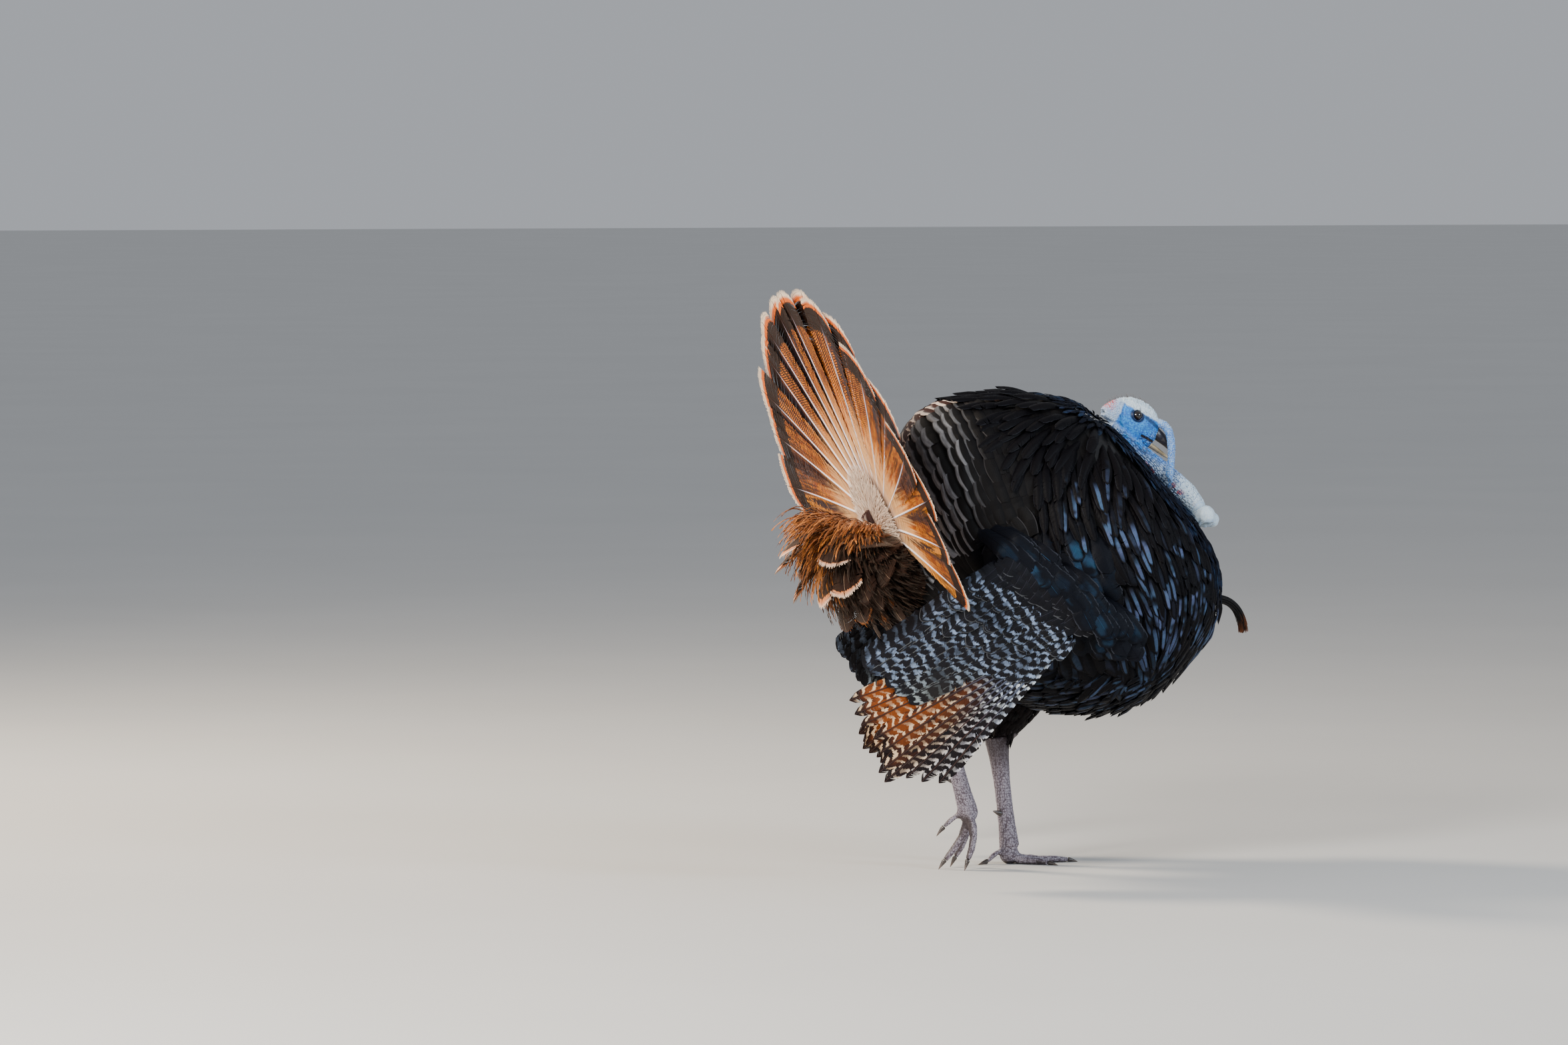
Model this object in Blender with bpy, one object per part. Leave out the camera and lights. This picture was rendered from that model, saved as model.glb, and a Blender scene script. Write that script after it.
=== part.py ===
"""A life-size still model of a wild turkey tom in full strut, in the middle of a slow step.

Metres, +Z up. The bird walks towards +X, its left side is +Y, and the origin lies on the floor
under the middle of its outline. The heights are above the floor; the X values are first laid out
from the ankle of the standing (left) foot and moved to the origin at the end.
"""

import math

import bmesh
import bpy
from mathutils import Matrix, Vector

# ---- driving sizes -------------------------------------------------------------------------
GAP = 0.0004  # clear space between pieces that meet
CUT = 0.0006  # width of the thin cuts that part the trunk

# The trunk with its raised plumage: x, top, bottom, half width.
TRUNK_STATIONS = [
    (-0.160, 0.618, 0.436, 0.042),
    (-0.154, 0.648, 0.402, 0.088),
    (-0.137, 0.674, 0.358, 0.128),
    (-0.105, 0.694, 0.324, 0.157),
    (-0.040, 0.706, 0.276, 0.182),
    (0.030, 0.711, 0.246, 0.196),
    (0.095, 0.702, 0.233, 0.202),
    (0.150, 0.668, 0.236, 0.200),
    (0.200, 0.612, 0.252, 0.188),
    (0.245, 0.563, 0.285, 0.164),
    (0.285, 0.528, 0.318, 0.128),
    (0.308, 0.500, 0.342, 0.094),
    (0.322, 0.462, 0.372, 0.052),
]
TRUNK_RINGS = 17
TRUNK_SIDES = 20
TRUNK_POWER = 2.15  # how square the sections are; 2 is an ellipse
TRUNK_WIDEST = 0.47  # height of the widest level, as a share of the section's height

# Head and bill lie along an axis that points forward and down.
HEAD_CENTRE = Vector((0.2015, 0.0, 0.667))
HEAD_PITCH = math.radians(-28)
# along the axis, top and bottom from it, half width
HEAD_STATIONS = [
    (-0.0545, -0.007, -0.016, 0.006),
    (-0.0510, 0.002, -0.022, 0.012),
    (-0.0430, 0.014, -0.028, 0.017),
    (-0.0280, 0.026, -0.032, 0.0205),
    (-0.0120, 0.031, -0.034, 0.0215),
    (0.0040, 0.0315, -0.034, 0.0210),
    (0.0190, 0.0285, -0.032, 0.0175),
    (0.0290, 0.021, -0.029, 0.0135),
    (0.0360, 0.010, -0.026, 0.0105),
    (0.0390, 0.005, -0.024, 0.0080),
]
BILL_UPPER_STATIONS = [  # along, height of the middle, half height, half width
    (0.0400, -0.0045, 0.0115, 0.0098),
    (0.0500, -0.0065, 0.0105, 0.0090),
    (0.0610, -0.0090, 0.0085, 0.0074),
    (0.0710, -0.0130, 0.0064, 0.0054),
    (0.0785, -0.0175, 0.0040, 0.0032),
    (0.0825, -0.0215, 0.0016, 0.0015),
]
BILL_LOWER_STATIONS = [
    (0.0400, -0.0212, 0.0046, 0.0088),
    (0.0520, -0.0225, 0.0042, 0.0076),
    (0.0640, -0.0242, 0.0033, 0.0054),
    (0.0740, -0.0256, 0.0018, 0.0026),
]
EYE_RADIUS = 0.0085
EYE_AT = (-0.0055, 0.0065, 0.0155)  # along, above and beside the head's axis

# The bare neck, folded back under the head, down to the breast: x, z, half depth, half width.
NECK_STATIONS = [
    (0.164, 0.664, 0.020, 0.0170),
    (0.186, 0.642, 0.027, 0.0215),
    (0.210, 0.622, 0.0265, 0.0230),
    (0.231, 0.604, 0.0240, 0.0230),
    (0.250, 0.588, 0.0220, 0.0225),
    (0.265, 0.571, 0.0205, 0.0220),
    (0.282, 0.554, 0.0185, 0.0205),
    (0.298, 0.536, 0.0155, 0.0175),
    (0.305, 0.526, 0.0110, 0.0130),
]
HEAD_NECK_CUT = (Vector((0.186, 0.0, 0.649)), Vector((-0.597, 0.0, -0.802)))  # point, way to the neck

# x, y, z, radius
SNOOD_STATIONS = [
    (0.237, -0.0010, 0.6650, 0.0050),
    (0.2440, -0.0060, 0.6610, 0.0062),
    (0.2510, -0.0130, 0.6500, 0.0064),
    (0.2530, -0.0190, 0.6320, 0.0062),
    (0.2510, -0.0250, 0.6080, 0.0056),
    (0.2480, -0.0290, 0.5820, 0.0048),
    (0.2465, -0.0300, 0.5580, 0.0026),
]
CARUNCLES = {  # centre and radius
    "caruncle_right": (Vector((0.3030, -0.0140, 0.5220)), 0.0165),
    "caruncle_left": (Vector((0.3050, 0.0170, 0.5200)), 0.0145),
    "caruncle_front": (Vector((0.3235, 0.0010, 0.5160)), 0.0115),
}
BEARD_STATIONS = [  # x, z, radius
    (0.316, 0.3990, 0.0065),
    (0.336, 0.3960, 0.0068),
    (0.352, 0.3900, 0.0066),
    (0.364, 0.3780, 0.0062),
    (0.371, 0.3620, 0.0052),
    (0.374, 0.3440, 0.0030),
]

# The raised tail stands on its root and leans back.
TAIL_ROOT = Vector((-0.190, 0.0, 0.517))
TAIL_LEAN = math.radians(22.8)
TAIL_FEATHERS = 18
TAIL_LENGTH = 0.388
TAIL_HALF_SPREAD = math.radians(112)
TAIL_SWEEP = 0.018  # how far the outer tips lie behind the plane of the middle ones
TAIL_TWIST = 0.026  # how far the left side is turned back, per unit of distance
TAIL_ROOT_RADIUS = 0.030
UPPER_COVERTS = 12
UPPER_COVERT_LENGTH = 0.190
UPPER_COVERT_HALF_SPREAD = math.radians(84)
UNDER_COVERTS = 9
UNDER_COVERT_LENGTH = 0.176
UNDER_COVERT_SIDE = math.radians(68)  # spread to either side
UNDER_COVERT_PITCH = (math.radians(9), math.radians(108))  # below the horizontal, from top to bottom
TAIL_BASE_RADII = (0.038, 0.0290, 0.0290)

# Wings: drooped, with the primaries spread. The places are in the side view (x, z), the dips in
# degrees below the horizontal. The right wing is swung back and open, the left one less so.
WINGS = {
    "right": {
        "wrist": (0.039, 0.365),
        "flare": 0.20,
        "primary_dips": [44.5, 40.0, 35.0, 30.5, 26.0, 21.5, 16.5, 11.5],
        "primary_lengths": [0.308, 0.338, 0.366, 0.384, 0.366, 0.374, 0.378, 0.372],
        "arm": ((0.020, 0.362), (-0.106, 0.450)),
        "secondary_dips": (22.0, 33.0),
        "secondary_lengths": (0.262, 0.232),
    },
    "left": {
        "wrist": (0.102, 0.365),
        "flare": 0.10,
        "primary_dips": [49.0, 46.5, 44.0, 41.5, 39.0, 36.5, 34.5, 32.5],
        "primary_lengths": [0.285, 0.305, 0.322, 0.335, 0.340, 0.342, 0.338, 0.332],
        "arm": ((0.083, 0.364), (-0.048, 0.454)),
        "secondary_dips": (34.0, 44.0),
        "secondary_lengths": (0.262, 0.214),
    },
}
WING_REST = 0.205  # distance of the wrist from the middle of the bird
WING_CLEAR = 0.006
PRIMARIES = 10
SECONDARIES = 11
PRIMARY_THICK = (0.0040, 0.0012)  # at the base and at the tip
SECONDARY_THICK = (0.0040, 0.0014)
COVERT_PAD_THICK = 0.013
PAD_SINK = 0.006  # how far the pad is laid into the trunk before it is cut to fit
COVERT_PAD_WIDTH = 0.118

# Legs: y is positive on the left. The left foot stands; the right one trails on its toe tips.
LEG_LEFT = {
    "hip": Vector((0.050, 0.070, 0.318)),
    "hock": Vector((-0.004, 0.036, 0.190)),
    "ankle": Vector((0.012, 0.022, 0.026)),
}
LEG_RIGHT = {
    "hip": Vector((-0.010, -0.072, 0.345)),
    "hock": Vector((-0.116, -0.046, 0.242)),
    "ankle": Vector((-0.070, -0.040, 0.084)),
}
SHANK_RADII = [0.0175, 0.0135, 0.0115, 0.0112, 0.0118, 0.0145]  # from the hock to the ankle
THIGH_RADII = [0.060, 0.050, 0.036, 0.024]
TOE_RADIUS = 0.0078
# Where each toe ends: ahead of the ankle, outwards from it, and its height above the floor.
TOES_STANDING = {
    "middle": (0.092, 0.003, 0.0042),
    "inner": (0.050, -0.037, 0.0042),
    "outer": (0.054, 0.042, 0.0042),
    "hind": (-0.036, -0.007, 0.0048),
}
TOES_TRAILING = {
    "middle": (-0.036, 0.002, 0.0150),
    "inner": (-0.012, -0.027, 0.0165),
    "outer": (-0.008, 0.027, 0.0165),
    "hind": (-0.036, -0.004, 0.0640),
}
CLAW_LENGTH = 0.016
CLAW_RADIUS = 0.0042
SPUR_LENGTH = 0.020


# ---- mesh helpers --------------------------------------------------------------------------
def collection(name):
    made = bpy.data.collections.new(name)
    bpy.context.scene.collection.children.link(made)
    return made


def material(name, colour, roughness, metallic=0.0):
    made = bpy.data.materials.new(name)
    made.use_nodes = True
    shader = made.node_tree.nodes["Principled BSDF"]
    shader.inputs["Base Color"].default_value = (*colour, 1.0)
    shader.inputs["Roughness"].default_value = roughness
    shader.inputs["Metallic"].default_value = metallic
    made.diffuse_color = (*colour, 1.0)
    return made


def spline(rows, count):
    """count rows on the Catmull-Rom curve through rows, which are tuples of numbers or vectors."""
    last = len(rows) - 1
    found = []
    for i in range(count):
        at = last * i / (count - 1)
        k = min(int(at), last - 1)
        t = at - k
        p0, p1, p2, p3 = (rows[min(max(k + j, 0), last)] for j in (-1, 0, 1, 2))
        found.append(
            tuple(
                0.5 * (2 * b + (c - a) * t + (2 * a - 5 * b + 4 * c - d) * t**2
                       + (3 * b - a - 3 * c + d) * t**3)
                for a, b, c, d in zip(p0, p1, p2, p3)
            )
        )
    return found


def finished(name, bm, mat):
    bmesh.ops.remove_doubles(bm, verts=bm.verts, dist=1e-6)
    bmesh.ops.triangulate(bm, faces=bm.faces)
    bmesh.ops.recalc_face_normals(bm, faces=bm.faces)
    mesh = bpy.data.meshes.new(name)
    bm.to_mesh(mesh)
    bm.free()
    mesh.materials.append(mat)
    mesh.shade_smooth()
    mesh.set_sharp_from_angle(angle=math.radians(50))
    obj = bpy.data.objects.new(name, mesh)
    TURKEY.objects.link(obj)
    return obj


def loft(name, rings, mat):
    """A closed solid through rings of equal length, capped at both ends."""
    bm = bmesh.new()
    grid = [[bm.verts.new(p) for p in ring] for ring in rings]
    sides = len(rings[0])
    for below, above in zip(grid, grid[1:]):
        for i in range(sides):
            j = (i + 1) % sides
            bm.faces.new((below[i], below[j], above[j], above[i]))
    for ring in (grid[0], grid[-1]):
        middle = bm.verts.new(sum((v.co for v in ring), Vector()) / sides)
        for i in range(sides):
            bm.faces.new((ring[i], ring[(i + 1) % sides], middle))
    return finished(name, bm, mat)


def oval(centre, side, up, half_width, above, below, sides, power=2.0):
    points = []
    for i in range(sides):
        a = 2 * math.pi * i / sides
        c, s = math.cos(a), math.sin(a)
        u = math.copysign(abs(c) ** (2 / power), c)
        v = math.copysign(abs(s) ** (2 / power), s)
        points.append(centre + side * (u * half_width) + up * (v * (above if v > 0 else below)))
    return points


def limb(name, rows, mat, sides, count, side_hint=Vector((0, 1, 0)), floor=False):
    """A tapering round piece. A row is x, y, z, half depth, half width. With floor its sole is flat."""
    rows = spline(rows, count)
    points = [Vector(r[:3]) for r in rows]
    rings = []
    for i, row in enumerate(rows):
        along = points[min(i + 1, count - 1)] - points[max(i - 1, 0)]
        along.normalize()
        side = (side_hint - along * side_hint.dot(along)).normalized()
        up = side.cross(along)
        ring = oval(points[i], side, up, row[4], row[3], row[3], sides)
        if floor:
            for p in ring:
                p.z = max(p.z, 0.0)
        rings.append(ring)
    return loft(name, rings, mat)


def sheet(name, place, columns, rows, mat):
    """A closed plate from place(s, t, face): s runs across, t from base to tip, face is 0 or 1."""
    bm = bmesh.new()
    faces = [
        [[bm.verts.new(place(i / columns, j / rows, f)) for j in range(rows + 1)] for i in range(columns + 1)]
        for f in (0, 1)
    ]
    for grid in faces:
        for i in range(columns):
            for j in range(rows):
                bm.faces.new((grid[i][j], grid[i + 1][j], grid[i + 1][j + 1], grid[i][j + 1]))
    rim = (
        [(i, 0) for i in range(columns)]
        + [(columns, j) for j in range(rows)]
        + [(i, rows) for i in range(columns, 0, -1)]
        + [(0, j) for j in range(rows, 0, -1)]
    )
    for (i, j), (k, m) in zip(rim, rim[1:] + rim[:1]):
        bm.faces.new((faces[0][i][j], faces[0][k][m], faces[1][k][m], faces[1][i][j]))
    return finished(name, bm, mat)


def ball(name, centre, radii, mat, segments=12, rings=8, turn=None):
    bm = bmesh.new()
    bmesh.ops.create_uvsphere(bm, u_segments=segments, v_segments=rings, radius=1.0)
    matrix = Matrix.Translation(centre) @ (turn or Matrix()) @ Matrix.Diagonal((*radii, 1.0))
    bmesh.ops.transform(bm, matrix=matrix, verts=bm.verts)
    return finished(name, bm, mat)


def keep_largest(mesh):
    """Drops all but the largest connected part of a mesh, so that a cut leaves no crumbs."""
    bm = bmesh.new()
    bm.from_mesh(mesh)
    seen, groups = set(), []
    for first in bm.verts:
        if first in seen:
            continue
        group, open_ends = [], [first]
        seen.add(first)
        while open_ends:
            vert = open_ends.pop()
            group.append(vert)
            for edge in vert.link_edges:
                other = edge.other_vert(vert)
                if other not in seen:
                    seen.add(other)
                    open_ends.append(other)
        groups.append(group)
    groups.sort(key=len)
    for group in groups[:-1]:
        bmesh.ops.delete(bm, geom=group, context="VERTS")
    bm.to_mesh(mesh)
    bm.free()


def combine(target, tool, operation, grow=0.0, keep_tool=True):
    """target joined with, cut by or kept inside a copy of tool that is grow larger all round."""
    copy = tool.copy()
    copy.data = tool.data.copy()
    CUTTERS.objects.link(copy)
    if grow:
        bm = bmesh.new()
        bm.from_mesh(copy.data)
        moves = [v.normal * (grow * min(v.calc_shell_factor(), 3.0)) for v in bm.verts]
        for v, move in zip(bm.verts, moves):
            v.co += move
        bm.to_mesh(copy.data)
        bm.free()
    boolean = target.modifiers.new("boolean", "BOOLEAN")
    boolean.operation = operation
    boolean.solver = "EXACT"
    boolean.object = copy
    bpy.context.view_layer.update()
    graph = bpy.context.evaluated_depsgraph_get()
    mesh = bpy.data.meshes.new_from_object(target.evaluated_get(graph))
    target.modifiers.clear()
    if operation == "DIFFERENCE":
        keep_largest(mesh)
    target.data = mesh
    bpy.data.objects.remove(copy)
    if not keep_tool:
        bpy.data.objects.remove(tool)
    return target


def kept_side(obj, point, way, name=None):
    """obj, or a copy called name, without what lies beyond the plane through point facing way."""
    if name:
        copy = obj.copy()
        copy.data = obj.data.copy()
        copy.name = name
        TURKEY.objects.link(copy)
        obj = copy
    bm = bmesh.new()
    bm.from_mesh(obj.data)
    cut = bmesh.ops.bisect_plane(
        bm, geom=bm.verts[:] + bm.edges[:] + bm.faces[:], plane_co=point, plane_no=way, clear_outer=True
    )
    rim = [e for e in cut["geom_cut"] if isinstance(e, bmesh.types.BMEdge)]
    bmesh.ops.triangle_fill(bm, edges=rim, use_beauty=True, use_dissolve=False)
    bmesh.ops.recalc_face_normals(bm, faces=bm.faces)
    bm.to_mesh(obj.data)
    bm.free()
    return obj


# ---- trunk ---------------------------------------------------------------------------------
def trunk_section(x):
    """Top, bottom and half width of the trunk at x."""
    table = TRUNK_TABLE
    x = min(max(x, table[0][0]), table[-1][0])
    for a, b in zip(table, table[1:]):
        if x <= b[0]:
            t = (x - a[0]) / (b[0] - a[0])
            return [p + (q - p) * t for p, q in zip(a[1:], b[1:])]
    return table[-1][1:]


def trunk_half_width(x, z):
    """How far the trunk's side stands from the middle at x and z, or 0 outside its outline."""
    if not TRUNK_TABLE[0][0] <= x <= TRUNK_TABLE[-1][0]:
        return 0.0
    top, bottom, width = trunk_section(x)
    middle = bottom + TRUNK_WIDEST * (top - bottom)
    reach = (top - middle) if z > middle else (middle - bottom)
    share = abs(z - middle) / reach
    return width * (1 - share**TRUNK_POWER) ** (1 / TRUNK_POWER) if share < 1 else 0.0


def build_trunk(mat):
    rings = []
    for x, top, bottom, width in spline(TRUNK_STATIONS, TRUNK_RINGS):
        middle = bottom + TRUNK_WIDEST * (top - bottom)
        rings.append(
            oval(Vector((x, 0, middle)), Vector((0, 1, 0)), Vector((0, 0, 1)),
                 width, top - middle, middle - bottom, TRUNK_SIDES, TRUNK_POWER)
        )
    return loft("trunk", rings, mat)


def part_trunk(trunk):
    """The trunk parted by thin cuts into breast, rump, back and belly, which are returned."""
    front_at, front_way = Vector((0.145, 0, 0.47)), Vector((0.94, 0, -0.34)).normalized()
    rear_at, rear_way = Vector((-0.085, 0, 0.50)), Vector((-0.98, 0, 0.20)).normalized()
    belly_at, belly_way = Vector((0.03, 0, 0.395)), Vector((-0.12, 0, -1.0)).normalized()
    half = CUT / 2
    breast = kept_side(trunk, front_at + front_way * half, -front_way, "breast")
    rump = kept_side(trunk, rear_at + rear_way * half, -rear_way, "rump")
    middle = kept_side(trunk, front_at - front_way * half, front_way, "back")
    kept_side(middle, rear_at - rear_way * half, rear_way)
    belly = kept_side(middle, belly_at + belly_way * half, -belly_way, "belly")
    kept_side(middle, belly_at - belly_way * half, belly_way)
    bpy.data.objects.remove(trunk)
    return [breast, rump, middle, belly]


def apart(a, b, margin=0.002):
    """Whether the boxes round two pieces are clear of each other."""
    boxes = []
    for o in (a, b):
        points = [v.co for v in o.data.vertices]
        boxes.append([(min(p[i] for p in points), max(p[i] for p in points)) for i in range(3)])
    return any(p[1] + margin < q[0] or q[1] + margin < p[0] for p, q in zip(*boxes))


# ---- head ----------------------------------------------------------------------------------
def head_point(along, above, beside=0.0):
    forward = Vector((math.cos(HEAD_PITCH), 0, math.sin(HEAD_PITCH)))
    up = Vector((-math.sin(HEAD_PITCH), 0, math.cos(HEAD_PITCH)))
    return HEAD_CENTRE + forward * along + up * above + Vector((0, beside, 0))


def build_head(skin):
    up = head_point(0, 1) - HEAD_CENTRE
    rings = []
    for along, top, bottom, width in spline(HEAD_STATIONS, 12):
        half = (top - bottom) / 2
        middle = head_point(along, (top + bottom) / 2)
        rings.append(oval(middle, Vector((0, 1, 0)), up, width, half, half, 14))
    return loft("head", rings, skin)


def build_bill(name, stations, horn):
    up = head_point(0, 1) - HEAD_CENTRE
    rings = [
        oval(head_point(a, mid), Vector((0, 1, 0)), up, width, half, half, 12)
        for a, mid, half, width in spline(stations, 7)
    ]
    return loft(name, rings, horn)


def build_neck(skin):
    rows = [(x, 0.0, z, depth, width) for x, z, depth, width in NECK_STATIONS]
    return limb("neck", rows, skin, sides=14, count=9)


def build_head_and_neck(skin, pale, horn, eye_mat):
    head = build_head(skin)
    neck = build_neck(skin)
    at, way = HEAD_NECK_CUT
    way = way.normalized()
    kept_side(neck, at + way * CUT / 2, -way)
    kept_side(head, at - way * CUT / 2, way)
    along, above, beside = EYE_AT
    for name, side in (("eye_left", 1), ("eye_right", -1)):
        eye = ball(name, head_point(along, above, side * beside), (EYE_RADIUS,) * 3, eye_mat, 10, 7)
        combine(head, eye, "DIFFERENCE", grow=GAP)
    upper = build_bill("bill_upper", BILL_UPPER_STATIONS, horn)
    lower = build_bill("bill_lower", BILL_LOWER_STATIONS, horn)
    for bill in (upper, lower):
        combine(bill, head, "DIFFERENCE", grow=GAP)
    combine(lower, upper, "DIFFERENCE", grow=GAP)
    rows = [(x, y, z, r, r) for x, y, z, r in SNOOD_STATIONS]
    snood = limb("snood", rows, pale, sides=8, count=10)
    for other in (head, upper):
        combine(snood, other, "DIFFERENCE", grow=GAP)
    made = [head, neck]
    for name, (centre, radius) in CARUNCLES.items():
        lump = ball(name, centre, (radius, radius, radius * 1.05), pale, 10, 7)
        for other in made[1:]:
            combine(lump, other, "DIFFERENCE", grow=GAP)
        made.append(lump)
    return made, snood


# ---- tail ----------------------------------------------------------------------------------
def tail_axes(lean):
    up = Vector((-math.sin(lean), 0, math.cos(lean)))
    forward = Vector((math.cos(lean), 0, math.sin(lean)))
    return up, forward


def tail_set(turn, r):
    """How far the fan's surface lies ahead of its plane at an angle from the middle and a distance."""
    return -TAIL_SWEEP * math.sin(turn) ** 2 * (r / TAIL_LENGTH) ** 2 - TAIL_TWIST * math.sin(turn) * r


def scallop(s, feathers, depth, power=2.4):
    """1 at the middle of a feather's tip, less towards the edges it shares with its neighbours."""
    within = (s * feathers) % 1.0 if s < 1 else 1.0
    return 1 - depth * abs(2 * within - 1) ** power


def build_tail(mat):
    up, forward = tail_axes(TAIL_LEAN)

    def place(s, t, face):
        turn = (2 * s - 1) * TAIL_HALF_SPREAD
        reach = TAIL_LENGTH * (1 - 0.05 * (2 * s - 1) ** 4) * scallop(s, TAIL_FEATHERS, 0.045)
        r = TAIL_ROOT_RADIUS + (reach - TAIL_ROOT_RADIUS) * t
        across = Vector((0, math.sin(turn), 0))
        thick = 0.0036 * (1 - t) + 0.0008
        ahead = tail_set(turn, r) + thick * (face - 0.5) * 2
        return TAIL_ROOT + (up * math.cos(turn) + across) * r + forward * ahead

    return sheet("tail_feathers", place, TAIL_FEATHERS * 3, 2, mat)


def build_upper_coverts(mat):
    up, forward = tail_axes(TAIL_LEAN)

    def place(s, t, face):
        turn = (2 * s - 1) * UPPER_COVERT_HALF_SPREAD
        reach = UPPER_COVERT_LENGTH * scallop(s, UPPER_COVERTS, 0.10)
        r = TAIL_ROOT_RADIUS + (reach - TAIL_ROOT_RADIUS) * t
        across = Vector((0, math.sin(turn), 0))
        ahead = 0.0056 + tail_set(turn, r)
        thick = 0.022 * (1 - t) ** 0.8 * math.cos(turn * 0.5) + 0.003
        return TAIL_ROOT + (up * math.cos(turn) + across) * r + forward * (ahead + thick * face)

    return sheet("upper_tail_coverts", place, UPPER_COVERTS * 2, 2, mat)


def build_under_coverts(rump, mat):
    """The loose puff of coverts under the tail: behind its root and below it."""
    start = TAIL_ROOT + Vector((-0.010, 0, -0.010))

    def place(s, t, face):
        side = (2 * s - 1) * UNDER_COVERT_SIDE
        pitch = UNDER_COVERT_PITCH[0] + (UNDER_COVERT_PITCH[1] - UNDER_COVERT_PITCH[0]) * t
        out = Vector(
            (-math.cos(pitch) * math.cos(side), math.sin(side), -math.sin(pitch) * math.cos(side))
        )
        rim = (2 * s - 1) ** 2
        reach = UNDER_COVERT_LENGTH * (1 - 0.16 * rim) * (1 - 0.20 * (1 - t) ** 3)
        ripple = scallop((s + 0.5 * t / UNDER_COVERTS) % 1.0, UNDER_COVERTS, 0.07)
        return start + out * (reach * ripple if face else 0.036 + 0.010 * rim)

    made = sheet("under_tail_coverts", place, UNDER_COVERTS * 2, 4, mat)
    return combine(made, rump, "DIFFERENCE", grow=GAP)


def build_tail_base(others, mat):
    turn = Matrix.Rotation(-TAIL_LEAN, 4, "Y")
    base = ball("tail_base", TAIL_ROOT, TAIL_BASE_RADII, mat, turn=turn)
    for other in others:
        combine(base, other, "DIFFERENCE", grow=GAP)


# ---- wings ---------------------------------------------------------------------------------
def wing_distance(wing, x, z):
    """How far the wing's inner face stands from the middle of the bird."""
    body = trunk_half_width(x, z) + WING_CLEAR
    away = max(0.0, (wing["wrist"][0] - x) * 0.80 + (wing["wrist"][1] - z) * 0.60)
    above = max(0.0, z - 0.44)
    flare = WING_REST + wing["flare"] * away - 0.25 * above
    blend = 0.012
    return blend * math.log(math.exp(body / blend) + math.exp(flare / blend))


def interpolated(values, s):
    at = s * (len(values) - 1)
    k = min(int(at), len(values) - 2)
    return values[k] + (values[k + 1] - values[k]) * (at - k)


def primary_place(wing, s, t):
    """Side view place on the spread primaries: s is 0 at the leading one, t runs from base to tip."""
    dip = math.radians(interpolated(wing["primary_dips"], s))
    reach = interpolated(wing["primary_lengths"], s) * scallop(s, PRIMARIES, 0.075, 1.6)
    start = 0.020
    r = start + (reach - start) * t
    return wing["wrist"][0] - math.cos(dip) * r, wing["wrist"][1] - math.sin(dip) * r


def secondary_place(wing, s, t):
    first, last = wing["arm"]
    x0, z0 = (a + (b - a) * s for a, b in zip(first, last))
    dip = math.radians(interpolated(wing["secondary_dips"], s))
    reach = interpolated(wing["secondary_lengths"], s) * scallop(s, SECONDARIES, 0.06, 2.2)
    return x0 - math.cos(dip) * reach * t, z0 - math.sin(dip) * reach * t


def pad_place(wing, s, t):
    """The coverts lie along the forearm: s from its front to its rear end, t from below to above."""
    first, last = wing["arm"]
    x0, z0 = (a + (b - a) * (1.28 * s - 0.16) for a, b in zip(first, last))
    along = Vector((last[0] - first[0], last[1] - first[1])).normalized()
    width = COVERT_PAD_WIDTH * max(0.10, math.sin(math.pi * (0.06 + 0.88 * s))) ** 0.6
    off = (t - 0.36) * width
    return x0 + along[1] * off, z0 - along[0] * off


def build_wing(name, side, body, mats):
    wing = WINGS[name]

    def solid(x, z, out):
        return Vector((x, side * (wing_distance(wing, x, z) + out), z))

    def primary(s, t, face):
        x, z = primary_place(wing, s, t)
        return solid(x, z, (PRIMARY_THICK[0] + (PRIMARY_THICK[1] - PRIMARY_THICK[0]) * t) * face)

    def secondary(s, t, face):
        x, z = secondary_place(wing, s, t)
        thick = SECONDARY_THICK[0] + (SECONDARY_THICK[1] - SECONDARY_THICK[0]) * t
        return solid(x, z, 0.0055 + thick * face)

    def coverts(s, t, face):
        x, z = pad_place(wing, s, t)
        if not face:
            sunk = trunk_half_width(x, z) - PAD_SINK
            return Vector((x, side * max(sunk, WING_REST - PAD_SINK), z))
        bulge = math.sin(math.pi * (0.05 + 0.90 * t)) * math.sin(math.pi * (0.08 + 0.84 * s)) ** 0.5
        return solid(x, z, 0.0110 + COVERT_PAD_THICK * bulge)

    pad = sheet(f"wing_coverts_{name}", coverts, 7, 4, mats["plumage"])
    for part in body:
        if not apart(pad, part):
            combine(pad, part, "DIFFERENCE", grow=GAP)
    hand = sheet(f"primaries_{name}", primary, PRIMARIES * 2, 2, mats["flight"])
    arm = sheet(f"secondaries_{name}", secondary, SECONDARIES * 2, 2, mats["flight"])
    for vanes in (hand, arm):
        combine(vanes, pad, "DIFFERENCE", grow=GAP)


# ---- legs ----------------------------------------------------------------------------------
def build_shank(name, hock, ankle, mat):
    count = len(SHANK_RADII)
    rows = []
    for i, radius in enumerate(SHANK_RADII):
        p = hock.lerp(ankle, i / (count - 1))
        rows.append((p.x, p.y, p.z, radius * 1.12, radius * 0.92))
    return limb(name, rows, mat, sides=10, count=6)


def build_thigh(name, hip, hock, mat):
    rows = []
    bend = Vector((0.012, 0, -0.006))
    for i, radius in enumerate(THIGH_RADII):
        t = i / (len(THIGH_RADII) - 1)
        p = hip.lerp(hock, t * 0.93) + bend * math.sin(math.pi * t)
        rows.append((p.x, p.y, p.z, radius, radius * 0.86))
    return limb(name, rows, mat, sides=14, count=6)


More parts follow.
